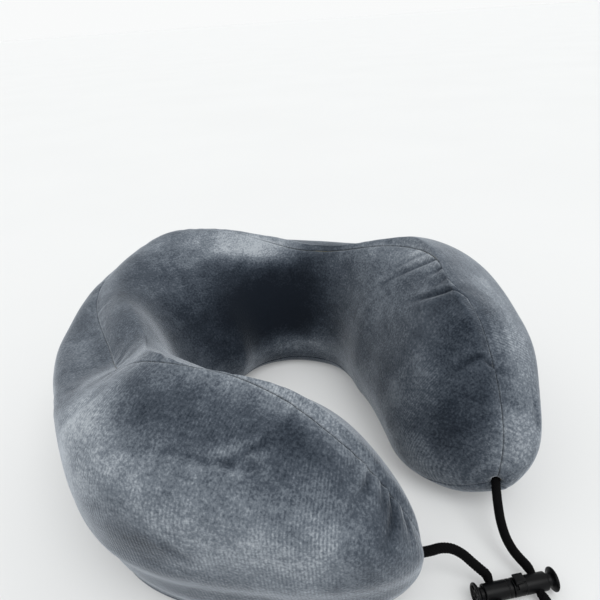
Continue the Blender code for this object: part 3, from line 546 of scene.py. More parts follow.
def skin_normals(shares, places):
    """Outward directions of the skin, from its slopes along and round."""
    run = raw_skin(np.minimum(shares + 0.002, 1.0), places)
    run = run - raw_skin(np.maximum(shares - 0.002, -1.0), places)
    round_it = raw_skin(shares, places + 0.06) - raw_skin(shares, places - 0.06)
    normal = np.cross(run, round_it)
    return normal / np.linalg.norm(normal, axis=-1, keepdims=True)


def distances(points, axis, start):
    """Distance along a grid direction, measured from a row or column that counts as zero."""
    steps = np.linalg.norm(np.diff(points, axis=axis), axis=-1)
    total = np.cumsum(steps, axis=axis)
    total = np.concatenate([np.zeros_like(np.take(total, [0], axis=axis)), total], axis=axis)
    return total - np.take(total, [start], axis=axis)


def zip_line_place():
    """Where the outer wall of the nape stands at the zip's height."""
    low, high = 6.0, LOWER_OUTER_SEAM
    for _ in range(40):
        middle = (low + high) / 2
        if raw_skin(np.array([0.0]), np.array([[middle]]))[0, 0, 2] > ZIP_HEIGHT:
            low = middle
        else:
            high = middle
    return (low + high) / 2


ZIP_LINE = zip_line_place()


def nape_speed(place):
    """Millimetres of cloth for each step of place in the middle of the nape."""
    ends = raw_skin(np.array([0.0]), np.array([[place - 0.02, place + 0.02]]))[0]
    return np.linalg.norm(ends[1] - ends[0]) / 0.04


ZIP_END_SHARE = ZIP_HALF_ANGLE * NAPE_ARC_RADIUS / HALF_LENGTH
WINDOW_SHARE = ZIP_END_SHARE + 0.3 / (NAPE_ARC_RADIUS + OUTER_HALF_WIDTH[0]) * NAPE_ARC_RADIUS / HALF_LENGTH
WINDOW_LOW = ZIP_LINE - ZIP_WINDOW_HALF / nape_speed(ZIP_LINE)
WINDOW_HIGH = ZIP_LINE + ZIP_WINDOW_HALF / nape_speed(ZIP_LINE)
TIP_START = 1.0 - TIP_LENGTH / HALF_LENGTH
# Size of the cover's mesh, and how a panel's edge turns in at its seam, at a hole and at the zip.
ROW_STEP = 1.9
COLUMN_STEP = 1.7
EDGE_STEPS = np.array([0.0, 0.12, 0.3, 0.55, 0.9, 1.4, 2.2])
ZIP_EDGE_STEPS = np.array([0.0, 0.15, 0.4, 0.8, 1.3])
HALF_GAP = 0.12
SEAM_ROLL = 1.1
HOLE_ROLL = 1.1
WINDOW_ROLL = 0.8
CLOTH_THICKNESS = 1.7
FOAM_INSET = 4.2


def top_seam(rows):
    """Place of the top seam in each row: a smooth line through its stations."""
    share, place = TOP_SEAM_LINE[:, 0], TOP_SEAM_LINE[:, 1]
    fine = np.linspace(-1.0, 1.0, 801)
    line = np.interp(fine, share, place)
    # The stations are joined straight, then the line is eased over about 7 mm each way.
    spread = np.exp(-0.5 * (np.arange(-30, 31) / 9.0) ** 2)
    line = np.convolve(np.pad(line, 30, mode="edge"), spread / spread.sum(), mode="valid")
    return np.interp(rows, fine, line)


def share_rows():
    """Rows along the pillow, closer together where a tip closes and at the ends of the zip."""
    body = np.linspace(0.0, TIP_START, round(TIP_START * HALF_LENGTH / ROW_STEP) + 1)
    scale = np.cos(np.linspace(0.0, math.pi / 2, 44)[1:])
    tip = TIP_START + (1.0 - scale**2) ** (1.0 / TIP_FULLNESS) * (1.0 - TIP_START)
    near_zip = WINDOW_SHARE + ZIP_EDGE_STEPS / ZIP_WALL_RADIUS * NAPE_ARC_RADIUS / HALF_LENGTH
    # The zip window's own rows stand in for the even ones beside them.
    body = body[np.min(np.abs(body[:, None] - near_zip[None]), axis=1) > 0.0016]
    half = np.sort(np.concatenate([body, near_zip, tip]))
    return np.concatenate([-half[:0:-1], half])


def column_places(rows, start, end, width):
    """Columns from one seam to the next, close together beside each seam. The shift from a seam is
    in millimetres, so it is turned into a place row by row."""
    count = max(4, round(width / COLUMN_STEP))
    near = start[:, None] + (HALF_GAP + EDGE_STEPS)[None, :] / edge_speed(rows, start)[:, None]
    far = end[:, None] - (HALF_GAP + EDGE_STEPS[::-1])[None, :] / edge_speed(rows, end)[:, None]
    step = ((end - start) / count)[:, None] * 0.6
    share = np.linspace(0.0, 1.0, count)[None, :]
    middle = near[:, -1:] + step + (far[:, :1] - near[:, -1:] - 2.0 * step) * share
    return np.concatenate([near, middle, far], axis=1)


def edge_speed(rows, place):
    """Millimetres of cloth for each step of place at a seam, row by row."""
    ends = raw_skin(rows, place[:, None] + np.array([-0.02, 0.02])[None, :])
    return np.maximum(np.linalg.norm(ends[:, 1] - ends[:, 0], axis=-1) / 0.04, 0.8)


def curl(distance, radius):
    """Depth of an edge that is turned in over a small radius."""
    inside = np.clip(radius - distance, 0.0, radius)
    return radius - np.sqrt(np.maximum(radius**2 - inside**2, 0.0))


ROWS = share_rows()

# Puckers where the seam thread draws the cloth up: share along the pillow, side of the seam
# (-1 top panel, 1 outer panel), reach from the seam, half width, depth, and lean, in millimetres.
PUCKERS = [
    (-0.826, 1, 13.0, 1.8, 1.3, 0.45), (-0.838, 1, 9.0, 1.5, 0.8, 0.3), (-0.880, 1, 8.0, 1.6, 0.6, 0.2),
    (-0.905, 1, 9.0, 1.8, 0.7, 0.25), (-0.926, 1, 19.0, 1.9, 1.9, 0.40), (-0.942, 1, 12.0, 1.6, 0.9, 0.1),
    (-0.956, 1, 20.0, 2.0, 1.7, 0.30), (-0.972, 1, 12.0, 1.6, 0.9, -0.1), (-0.935, -1, 9.0, 1.8, 0.8, 0.1),
    (-0.60, -1, 11.0, 1.6, 1.1, -0.3), (-0.52, 1, 12.0, 2.2, 0.8, 0.3), (-0.44, -1, 12.0, 2.4, 0.6, 0.2),
    (0.690, -1, 27.0, 2.3, 1.6, -0.95), (0.722, -1, 12.0, 1.8, 0.9, -0.60), (0.758, -1, 9.0, 2.0, 0.9, -0.3),
    (0.815, -1, 25.0, 2.3, 1.9, -1.15), (0.838, -1, 8.0, 1.8, 0.7, -0.4), (0.872, -1, 9.0, 1.8, 0.7, -0.2),
    (0.916, -1, 26.0, 1.8, 1.9, -0.10), (0.920, 1, 11.0, 1.7, 1.7, 0.10), (0.655, -1, 20.0, 2.6, 0.7, -0.9),
    (0.955, 1, 12.0, 2.0, 0.8, 0.0), (0.972, -1, 10.0, 1.8, 0.7, 0.0), (0.56, 1, 10.0, 2.2, 0.5, 0.1),
]
# Sharper creases in the outer panel: ends as share and place, half width and depth.
CREASES = [
    (-0.685, 4.66, -0.735, 4.66, 1.6, 1.0), (-0.735, 4.66, -0.795, 4.63, 1.6, 1.7),
    (-0.757, 4.645, -0.795, 4.45, 1.6, 1.5), (-0.715, 5.02, -0.760, 5.20, 1.4, 0.5),
    (-0.690, 5.30, -0.735, 5.75, 1.8, 0.5), (-0.555, 4.45, -0.520, 5.0, 2.4, 0.6),
    (-0.47, 4.6, -0.44, 5.3, 2.4, 0.5), (0.62, 5.1, 0.70, 5.4, 2.2, 0.4), (0.93, 4.9, 0.965, 5.3, 1.8, 0.6),
]
# Broad dips and fills of the stuffing: share, place, reach along, reach round, and height.
FILLINGS = [
    (-0.46, 2.95, 34.0, 17.0, -5.0), (-0.40, 3.7, 30.0, 11.0, 3.0), (-0.30, 3.5, 24.0, 12.0, 1.5),
    (0.33, 3.0, 40.0, 24.0, -4.6), (0.60, 3.5, 30.0, 16.0, -1.8), (0.97, 5.6, 18.0, 16.0, 3.2),
    (0.90, 5.0, 30.0, 26.0, -2.6), (-0.17, 4.3, 30.0, 22.0, 3.6), (-0.05, 3.25, 16.0, 12.0, -1.6),
    (-0.53, 5.1, 34.0, 26.0, -1.8), (0.90, 0.45, 40.0, 14.0, 2.6), (0.985, 9.9, 20.0, 14.0, 2.4),
    (-0.79, 3.8, 30.0, 14.0, -1.2), (0.985, 6.9, 15.0, 13.0, 3.2), (0.66, 3.9, 20.0, 12.0, 1.2),
]
# Patches of paler and darker pile, partly painted light and shade: the pale ones along the crest, on the
# outer edges and along the inner foot are painted sheen and bounce light, and the dark one on the nape's
# inner wall is partly painted shade. Columns: share, place, reach along, reach round, and how much paler (+)
# or darker (-).
PILE_AND_LIGHT_PATCHES = [
    (0.25, 1.7, 60.0, 34.0, -0.50), (0.42, 1.6, 40.0, 30.0, -0.22), (0.10, 1.4, 40.0, 30.0, -0.30),
    (0.20, 2.85, 34.0, 13.0, 0.42), (0.05, 2.9, 34.0, 14.0, 0.22), (-0.18, 2.9, 40.0, 18.0, -0.06),
    (-0.78, 5.35, 44.0, 24.0, 0.24), (-0.90, 5.2, 26.0, 30.0, 0.06), (-0.56, 4.75, 26.0, 17.0, 0.33),
    (-0.60, 5.3, 34.0, 14.0, 0.20), (-0.75, 4.38, 46.0, 13.0, -0.17), (-0.69, 5.62, 18.0, 8.0, -0.36),
    (-0.87, 4.40, 22.0, 9.0, -0.20), (-0.945, 4.5, 9.0, 9.0, -0.26), (-0.40, 4.8, 34.0, 20.0, -0.04),
    (-0.80, 3.5, 60.0, 12.0, 0.30), (0.86, 2.95, 34.0, 22.0, -0.24), (0.975, 2.1, 26.0, 24.0, -0.24),
    (0.66, 3.0, 40.0, 16.0, 0.20), (0.60, 1.9, 34.0, 26.0, 0.10), (0.90, 4.7, 44.0, 12.0, 0.22),
    (0.76, 4.5, 40.0, 10.0, 0.20), (0.80, 0.9, 80.0, 12.0, 0.22), (0.30, 0.85, 60.0, 10.0, 0.34),
    (-0.66, 4.78, 24.0, 13.0, 0.28), (0.17, 2.55, 36.0, 10.0, 0.34), (0.98, 4.6, 24.0, 16.0, 0.22),
    (-0.26, 2.95, 24.0, 16.0, -0.16), (-0.21, 1.9, 24.0, 20.0, -0.10), (0.43, 1.75, 24.0, 26.0, 0.32),
    (0.02, 2.55, 30.0, 10.0, 0.18), (-0.33, 4.25, 26.0, 16.0, 0.10), (0.88, 2.7, 20.0, 16.0, 0.08),
    (0.53, 2.8, 26.0, 12.0, 0.12),
]


def at(share, place):
    """A single point of the skin with its directions along and round."""
    here = raw_skin(np.array([share]), np.array([[place]]))[0, 0]
    run = raw_skin(np.array([min(share + 0.003, 1.0)]), np.array([[place]]))[0, 0]
    run = run - raw_skin(np.array([max(share - 0.003, -1.0)]), np.array([[place]]))[0, 0]
    normal = skin_normals(np.array([share]), np.array([[place]]))[0, 0]
    run = run / np.linalg.norm(run)
    return here, run, np.cross(normal, run), normal


def folds(points, across, run):
    """Puckers and creases, in millimetres from the plain skin. across is the distance from the
    top seam, negative on the top panel, and run the distance along the seam."""
    total = np.zeros(points.shape[:-1])
    reach = np.abs(across)
    rng = np.random.default_rng(11)
    random_puckers = []
    place = -0.97
    while place < 0.97:
        side = 1 if rng.uniform() < 0.5 else -1
        deep = rng.uniform(0.12, 0.45)
        random_puckers.append((
            place, side, rng.uniform(5.0, 13.0), rng.uniform(1.5, 2.8), deep, rng.uniform(-0.35, 0.35),
        ))
        place += rng.uniform(0.018, 0.05)
    for share, side, long, half, deep, lean in PUCKERS + random_puckers:
        centre = np.interp(share, ROWS, run)
        # Each fold leans off the seam's square, and wavers by 0.9 mm.
        off = run[:, None] - centre - lean * reach + 0.9 * np.sin(reach / 6.0 + 40.0 * share)
        near = np.where(across * side >= 0, 1.0, 0.0) * np.exp(-((reach / long) ** 2))
        near = near * np.clip(reach / 0.8, 0.35, 1.0)
        # A fold opens out away from the seam, and the cloth beside it stands up a little.
        open_half = half * (0.8 + 0.5 * np.clip(reach / long, 0.0, 1.5))
        fold = -np.exp(-((off / open_half) ** 2))
        fold += 0.40 * np.exp(-(((np.abs(off) - 2.2 * open_half) / (1.3 * open_half)) ** 2))
        total += deep * fold * near
    for from_share, from_place, to_share, to_place, half, deep in CREASES:
        start, end = at(from_share, from_place)[0], at(to_share, to_place)[0]
        line = end - start
        part = np.clip(((points - start) @ line) / (line @ line), 0.0, 1.0)
        gap = np.linalg.norm(points - start - part[..., None] * line, axis=-1)
        fade = np.sin(np.clip(part * 0.86 + 0.07, 0.0, 1.0) * math.pi) ** 0.5
        lip = 0.5 * np.exp(-(((gap - 2.2 * half) / (1.2 * half)) ** 2))
        total += deep * fade * (lip - np.exp(-((gap / half) ** 2)))
    return total


def bumps(points, table, deep):
    """The sum of soft mounds on the skin: share, place, reach along, reach round, amount."""
    total = np.zeros(points.shape[:-1])
    for share, place, long, wide, amount in table:
        here, run, round_it, normal = at(share, place)
        off = points - here
        shape = (off @ run / long) ** 2 + (off @ round_it / wide) ** 2 + (off @ normal / deep) ** 2
        total += amount * np.exp(-shape)
    return total


def shaping(points):
    """How far the stuffing stands off the plain skin, in millimetres."""
    return bumps(points, FILLINGS, 30.0)


def pile_lean(points):
    """How pale the pile is at each point, from where it has been brushed, with painted sheen, bounce light
    and shade laid into it.
    """
    return 0.5 + bumps(points, PILE_AND_LIGHT_PATCHES, 34.0) + soft_noise(points, 30.0, 21) * 0.07


def panel(name, start, end, width, seam_at=None, window=False):
    """One sewn panel of the cover: a closed shell whose edges turn in at the seams. seam_at says
    which end is the top seam. The knitted rows cross the pillow, from seam to seam."""
    places = column_places(ROWS, start, end, width)
    if window:
        places = window_columns(places)
    points = raw_skin(ROWS, places)
    normal = skin_normals(ROWS, places)
    round_from_start = distances(points, 1, 0)
    round_to_end = -distances(points, 1, places.shape[1] - 1)
    across = np.full(points.shape[:-1], 400.0)
    if seam_at == "start":
        across = round_from_start + HALF_GAP
    if seam_at == "end":
        across = -round_to_end - HALF_GAP
    seam_line = raw_skin(ROWS, top_seam(ROWS)[:, None])
    run = distances(seam_line, 0, len(ROWS) // 2)[:, 0]
    fold = folds(points, across, run)
    # The seam lies in a shallow valley of the stuffing.
    height = fold - 0.6 * np.exp(-((across / 5.0) ** 2))
    height += soft_noise(points, 42.0, 3) * 0.7 + soft_noise(points, 19.0, 5) * 0.35
    # Nothing stands off the cloth where it lies on the floor, or at the cord's hole.
    height *= np.clip(points[..., 2] / 14.0, 0.0, 1.0)
    to_hole = np.minimum(*hole_distances(ROWS, places))
    height *= np.clip(to_hole / 10.0, 0.0, 1.0)
    if window:
        height *= np.clip((window_distance(places) - 1.0) / 12.0, 0.0, 1.0)
    depth = curl(round_from_start, SEAM_ROLL) + curl(round_to_end, SEAM_ROLL)
    depth = np.maximum(depth, curl(to_hole, HOLE_ROLL))
    if window:
        depth = np.maximum(depth, curl(window_distance(places), WINDOW_ROLL))
    height = height + shaping(points)
    outer = points + normal * (height - depth)[..., None]
    inner = points + normal * (height - CLOTH_THICKNESS)[..., None]
    # The hem of each hole hugs its cord.
    for centre, gap in zip(hole_centres(), hole_distances(ROWS, places)):
        hug = (centre - points) * (0.2 * np.exp(-((gap / 1.5) ** 2)))[..., None]
        outer += hug
        inner += hug
    outer[..., 2] = np.maximum(outer[..., 2], 0.02)
    inner[..., 2] = np.maximum(inner[..., 2], 1.2)
    kept = np.ones((len(ROWS) - 1, places.shape[1] - 1), bool)
    if window:
        row_middle = np.abs(ROWS[1:] + ROWS[:-1])[:, None] / 2
        column_middle = (places[len(ROWS) // 2, 1:] + places[len(ROWS) // 2, :-1])[None, :] / 2
        inside = (column_middle > WINDOW_LOW) & (column_middle < WINDOW_HIGH)
        kept &= ~((row_middle < WINDOW_SHARE) & inside)
    run_along = np.broadcast_to((ROWS * HALF_LENGTH)[:, None], round_from_start.shape)
    uv = np.stack([run_along, round_from_start], -1) * MM
    # Painted shade darkens the cloth in each fold, and painted highlight lightens each fold's lip and a strip
    # beside the seam.
    lean = pile_lean(points) + np.clip(0.13 * fold, -0.22, 0.12) + 0.10 * np.exp(-((across / 1.6) ** 2))
    return closed_shell(name, outer, inner, kept, uv, VELOUR, lean)


def hole_centres():
    """Middle of the two cord holes, left then right."""
    round_it = np.linspace(0.0, 9.5, 20)[None, :]
    return [raw_skin(np.array([share]), round_it)[0].mean(axis=0) for share in (-1.0, 1.0)]


def hole_distances(rows, places):
    """Distance from each point to the two cord holes."""
    points = raw_skin(rows, places)
    return [
        np.maximum(np.linalg.norm(points - centre, axis=-1) - HOLE_RADIUS, 0.0) for centre in hole_centres()
    ]


def window_columns(places):
    """Move the nearest columns so that they run along the zip window's edges."""
    places = places.copy()
    at_nape = places[len(ROWS) // 2]
    low = ZIP_EDGE_STEPS[::-1] * -1.0 / nape_speed(WINDOW_LOW) + WINDOW_LOW
    high = ZIP_EDGE_STEPS / nape_speed(WINDOW_HIGH) + WINDOW_HIGH
    first = int(np.searchsorted(at_nape, low[0] - 0.05))
    last = int(np.searchsorted(at_nape, high[-1] + 0.05))
    # Outside the window each row keeps its own seams and meets the window's columns evenly.
    start, end = places[:, :1].copy(), places[:, -1:].copy()
    before = (at_nape[first - 1] - start) / (places[:, first - 1:first] - start)
    after = (end - at_nape[last]) / (end - places[:, last:last + 1])
    places[:, :first] = start + (places[:, :first] - start) * before
    places[:, last:] = end - (end - places[:, last:]) * after
    middle = np.linspace(WINDOW_LOW, WINDOW_HIGH, 8)[1:-1]
    band = np.tile(np.concatenate([low, middle, high]), (len(places), 1))
    return np.concatenate([places[:, :first], band, places[:, last:]], axis=1)


def window_distance(places):
    """Distance outside the zip window, in millimetres of cloth."""
    beside = np.maximum(WINDOW_LOW - places, places - WINDOW_HIGH)
    beside = np.maximum(beside, 0.0) * nape_speed(ZIP_LINE)
    beyond = np.maximum(np.abs(ROWS) - WINDOW_SHARE, 0.0) * HALF_LENGTH / NAPE_ARC_RADIUS * ZIP_WALL_RADIUS
    return np.hypot(beside, beyond[:, None])


def closed_shell(name, outer, inner, kept, uv, finish, lean=None):
    """A closed shell from an outer and an inner grid, with walls round every open edge."""
    rows, columns = outer.shape[:2]
    index = np.arange(rows * columns).reshape(rows, columns)
    a, b, c, d = index[:-1, :-1], index[1:, :-1], index[1:, 1:], index[:-1, 1:]
    faces = [np.stack([a, b, c, d], -1)[kept], np.stack([d, c, b, a], -1)[kept] + rows * columns]
    padded = np.pad(kept, 1)
    sides = [
        (padded[1:-1, :-2], a, b), (padded[2:, 1:-1], b, c),
        (padded[1:-1, 2:], c, d), (padded[:-2, 1:-1], d, a),
    ]
    for beyond, first, second in sides:
        open_edge = kept & ~beyond
        p, q = first[open_edge], second[open_edge]
        faces.append(np.stack([q, p, p + rows * columns, q + rows * columns], -1))
    faces = np.concatenate(faces)
    points = np.concatenate([outer.reshape(-1, 3), inner.reshape(-1, 3)])
    flat = np.concatenate([uv.reshape(-1, 2)] * 2)
    used = np.unique(faces)
    renumber = np.zeros(len(points), np.int64)
    renumber[used] = np.arange(len(used))
    made = mesh_object(name, points[used], renumber[faces], finish)
    set_uv(made, flat[used])
    # The pile value holds painted sheen and shade as well as the pile's own tone.
    if lean is not None:
        set_value(made, "pile_lean", np.tile(lean.reshape(-1), 2)[used])
    return made


# The three panels, with the width of their cloth. A whole turn round the section is ten places.
top_line = top_seam(ROWS)
outer_line = np.full(len(ROWS), LOWER_OUTER_SEAM)
inner_line = np.full(len(ROWS), LOWER_INNER_SEAM)
top_cover = panel("top_and_inner_cover", inner_line, top_line, 215.0, seam_at="end")
side_cover = panel("outer_side_cover", top_line, outer_line, 130.0, seam_at="start", window=True)
foot_cover = panel("underside_cover", outer_line, inner_line + 10.0, 92.0)
for cover, node in (
    (top_cover, "top_inner_panel"), (side_cover, "outer_side_panel"), (foot_cover, "bottom_panel"),
):
    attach(cover, "pillow")
    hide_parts(node)


# ---- cords ----
def buckle_frame():
    """The buckle's middle, and the directions along it, across it and up."""
    turn = math.radians(BUCKLE_TURN)
    along_it = np.array([math.cos(turn), math.sin(turn), 0.0])
    across = np.array([-math.sin(turn), math.cos(turn), 0.0])
    return np.array(BUCKLE_CENTRE), along_it, across, np.array([0.0, 0.0, 1.0])


def around_buckle(angle):
    """The direction at an angle round the buckle's axis, counted up from across it."""
    across, up = buckle_frame()[2:]
    return across * math.cos(angle) + up * math.sin(angle)


def lock_points(place):
    """Where a cord runs straight through a lock, from its upper side to its lower side."""
    centre, along_it = buckle_frame()[:2]
    way = around_buckle(math.radians(HOLE_TILT))
    levels = (BARREL_RADIUS + 1.1, BARREL_RADIUS + 0.2, -BARREL_RADIUS - 0.2, -BARREL_RADIUS - 1.1)
    return [centre + along_it * place + way * level for level in levels]


def smooth_line(points, step):
    """Points an even step apart on one smooth curve through the given points."""
    points = [np.asarray(p, float) for p in points]
    ends = [2 * points[0] - points[1]] + points + [2 * points[-1] - points[-2]]
    fine = []
    for p, q, r, s in zip(ends, ends[1:], ends[2:], ends[3:]):
        for u in np.linspace(0.0, 1.0, 24, endpoint=False):
            fine.append(between(p, q, r, s, u))
    fine = np.array(fine + [points[-1]])
    length = np.concatenate([[0.0], np.cumsum(np.linalg.norm(np.diff(fine, axis=0), axis=1))])
    wanted = np.linspace(0.0, length[-1], max(8, round(length[-1] / step)) + 1)
    return np.stack([np.interp(wanted, length, fine[:, k]) for k in range(3)], -1)


def rings_along(line, around):
    """Directions round a line at each of its points, with as little twist as they can have."""
    heading = np.gradient(line, axis=0)
    heading /= np.linalg.norm(heading, axis=1, keepdims=True)
    side = np.cross(heading[0], [0.0, 0.0, 1.0])
    if np.linalg.norm(side) < 0.1:
        side = np.cross(heading[0], [1.0, 0.0, 0.0])
    sides = []
    for direction in heading:
        side = side - direction * (side @ direction)
        side = side / np.linalg.norm(side)
        sides.append(side)
    sides = np.array(sides)
    ups = np.cross(heading, sides)
    angle = np.linspace(0.0, 2 * math.pi, around, endpoint=False)[None, :, None]
    return sides[:, None] * np.cos(angle) + ups[:, None] * np.sin(angle)


# Yarns that lie side by side each way round the cord, their relief, and the cord's mesh step.
YARNS = 8
YARN_RELIEF = 0.34
CORD_STEP = 0.22


def braided_tube(name, line, radius, finish, around=64, pitch=6.4):
    """A round braid: two sets of yarns that pass over and under each other along a line.
    radius is one number or one for each point of the line."""
    radius = np.broadcast_to(radius, (len(line),)).astype(float)
    length = np.concatenate([[0.0], np.cumsum(np.linalg.norm(np.diff(line, axis=0), axis=1))])
    angle = np.linspace(0.0, 2 * math.pi, around, endpoint=False)[None, :]
    yarn_at, turn_at = angle / (2 * math.pi) * YARNS, (length / pitch * YARNS / 2)[:, None]
    one_way, other_way = yarn_at + turn_at, yarn_at - turn_at
    over = (np.floor(one_way) + np.floor(other_way)) % 2 < 1
    top = np.where(over, one_way % 1.0, other_way % 1.0)
    run = np.where(over, other_way % 1.0, one_way % 1.0)
    relief = np.sin(math.pi * top) ** 0.6 * (0.55 + 0.45 * np.sin(math.pi * run))
    spread = radius[:, None] - YARN_RELIEF * (radius / radius.max())[:, None] * (1.0 - relief)
    points = line[:, None] + rings_along(line, around) * spread[..., None]
    uv = np.stack(np.broadcast_arrays(length[:, None], angle * CORD_DIAMETER / 2), -1) * MM
    return closed_tube(name, points, finish, uv)


def cord_line(route, tail, place):
    """A cord's middle line and its radius, which the lock squeezes."""
    lock = lock_points(place)
    line = smooth_line(route + lock + tail, CORD_STEP)
    middle = (lock[1] + lock[2]) / 2
    near = np.linalg.norm(line - middle, axis=1)
    ease = np.clip((near - BARREL_RADIUS) / 3.0, 0.0, 1.0)
    ease = ease * ease * (3.0 - 2.0 * ease)
    radius = CORD_SQUEEZED_DIAMETER / 2 + (CORD_DIAMETER - CORD_SQUEEZED_DIAMETER) / 2 * ease
    return line, radius


def knot_line(tail, hand):
    """An overhand knot drawn tight at the end of a cord, and the stub past it."""
    end, before = np.array(tail[-1]), np.array(tail[-2])
    heading = end - before
    heading[2] = 0.0
    heading /= np.linalg.norm(heading)
    side = np.array([-heading[1], heading[0], 0.0]) * hand
    up = np.array([0.0, 0.0, 1.0])
    # The knot rests on the floor.
    centre = end + heading * 4.3
    centre[2] = 4.75
    shape = [
        (-5.6, 0.0, -2.0), (-3.4, -0.8, -1.2), (-1.2, -2.3, 0.9), (1.2, -2.0, 2.6), (3.0, 0.2, 2.3),
        (2.4, 2.4, 0.4), (0.2, 2.5, -1.8), (-2.0, 0.8, -2.3), (-3.0, -0.2, 0.6), (-2.0, 1.4, 2.5),
        (0.0, 2.2, 2.2), (1.6, 1.0, 0.2), (2.8, -0.8, -1.4), (5.2, -1.2, -1.9), (8.2, -1.3, -2.2),
    ]
    return [centre + heading * x + side * y + up * z for x, y, z in shape]


def cord_set(side_name, route, tail, place, hand):
    """A cord with its knot: the cord as a braid along its own route."""
    line, radius = cord_line(route, tail, place)
    made = braided_tube(f"{side_name}_braided_cord", line, radius + YARN_RELIEF * 0.45, BRAID)
    knot_path = smooth_line(knot_line(tail, hand), 0.3)
    knot = braided_tube(f"{side_name}_overhand_knot", knot_path, 1.75, BRAID, around=40, pitch=5.2)
    return made, line, knot


left_cord, left_line, left_knot = cord_set("left", LEFT_ROUTE, LEFT_TAIL, -LEFT_HOLE_PLACE, 1.0)
right_cord, right_line, right_knot = cord_set("right", RIGHT_ROUTE, RIGHT_TAIL, RIGHT_HOLE_PLACE, -1.0)
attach(left_cord, "pillow")
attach(left_knot, "pillow")
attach(right_knot, "right_half")
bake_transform(right_cord)
for made, line, knot, node, route in (
    (left_cord, left_line, left_knot, "left_cord", LEFT_ROUTE),
    (right_cord, right_line, right_knot, "right_cord", RIGHT_ROUTE),
):
    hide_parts(node)
    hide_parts(node + "_knot")


# ---- buckle ----
def turned_piece(name, profile, finish, mirror=False):
    """A profile of (radius, distance along the buckle), spun about the buckle's axis."""
    centre, along_it, across, up = buckle_frame()
    profile, steps = rounded(profile), 96
    if mirror:
        along_it, across = -along_it, -across
    work = bmesh.new()
    rings_made = []
    for radius, level in profile:
        spot = centre + along_it * level
        if radius < 1e-6:
            rings_made.append([work.verts.new(spot)])
            continue
        ring = []
        for k in range(steps):
            angle = 2 * math.pi * k / steps
            ring.append(work.verts.new(spot + (across * math.cos(angle) + up * math.sin(angle)) * radius))
        rings_made.append(ring)
    count = len(rings_made)
    for i in range(count):
        first, second = rings_made[i], rings_made[(i + 1) % count]
        if len(first) == 1 and len(second) == 1:
            continue
        for k in range(steps):
            n = (k + 1) % steps
            near, far = len(first), len(second)
            corners = [first[k % near], first[n % near], second[n % far], second[k % far]]
            work.faces.new(list(dict.fromkeys(corners)))
    bmesh.ops.recalc_face_normals(work, faces=work.faces)
    bmesh.ops.scale(work, verts=work.verts, vec=(MM, MM, MM))
    mesh = bpy.data.meshes.new(name)
    work.to_mesh(mesh)
    work.free()
    mesh.materials.append(finish)
    return in_scene(name, mesh)


def rounded(profile, radius=0.22):
    """The profile with each corner off the axis cut by a small arc of three points."""
    made = []
    count = len(profile)
    for i, here in enumerate(profile):
        before, after = np.array(profile[i - 1]), np.array(profile[(i + 1) % count])
        here = np.array(here, float)
        if here[0] < 1e-6:
            made.append(tuple(here))
            continue
        back, ahead = before - here, after - here
        size = min(radius, 0.42 * np.linalg.norm(back), 0.42 * np.linalg.norm(ahead))
        back, ahead = back / np.linalg.norm(back), ahead / np.linalg.norm(ahead)
        start, end = here + back * size, here + ahead * size
        for u in (0.0, 0.33, 0.67, 1.0):
            made.append(tuple((1 - u) ** 2 * start + 2 * u * (1 - u) * here + u**2 * end))
    return made


def cross_cut(made, place, long_reach):
    """Cut the tilted slot that the cord runs through."""
    centre, along_it = buckle_frame()[:2]
    way = around_buckle(math.radians(HOLE_TILT))
    over = np.cross(along_it, way)
    work = bmesh.new()
    ends = []
    for level in (-8.0, 8.0):
        ring = []
        for k in range(48):
            angle = 2 * math.pi * k / 48
            x = HOLE_HALF * math.cos(angle)
            if x * long_reach > 1e-6:
                x += long_reach
            spot = centre + along_it * (place + x) + way * level + over * HOLE_HALF * math.sin(angle)
            ring.append(work.verts.new(spot * MM))
        ends.append(ring)
    for k in range(48):
        n = (k + 1) % 48
        work.faces.new([ends[0][k], ends[0][n], ends[1][n], ends[1][k]])
    work.faces.new(ends[0])
    work.faces.new(list(reversed(ends[1])))
    bmesh.ops.recalc_face_normals(work, faces=work.faces)
    cut_with(made, work)


def cut_with(made, work, operation="DIFFERENCE"):
    """Apply one exact boolean with a bmesh, then drop the tool."""
    mesh = bpy.data.meshes.new("tool")
    work.to_mesh(mesh)
    work.free()
    tool = in_scene("tool", mesh)
    step = made.modifiers.new("cut", "BOOLEAN")
    step.operation = operation
    step.solver = "EXACT"
    step.object = tool
    settled(made)
    bpy.data.objects.remove(tool, do_unlink=True)
    return made


def add_box(work, low, high):
    """Add a box to a bmesh between two corners in the buckle's own axes."""
    centre, along_it, across, up = buckle_frame()
    corners = []
    for x, y, z in itertools.product(*zip(low, high)):
        corners.append(work.verts.new((centre + along_it * x + across * y + up * z) * MM))
    for face in BOX_FACES:
        work.faces.new([corners[c] for c in face])


# The six faces of a box whose corners are counted with the last direction running fastest.
BOX_FACES = ((0, 1, 3, 2), (4, 6, 7, 5), (0, 4, 5, 1), (2, 3, 7, 6), (0, 2, 6, 4), (1, 5, 7, 3))


def smooth_by_angle(made):
    """Smooth shading that breaks at real corners."""
    work = bmesh.new()
    work.from_mesh(made.data)
    bmesh.ops.remove_doubles(work, verts=work.verts, dist=1e-7)
    limit = math.radians(38.0)
    for face in work.faces:
        face.smooth = True
    for edge in work.edges:
        edge.smooth = len(edge.link_faces) != 2 or edge.calc_face_angle(0.0) < limit
    work.to_mesh(made.data)
    work.free()
    return made


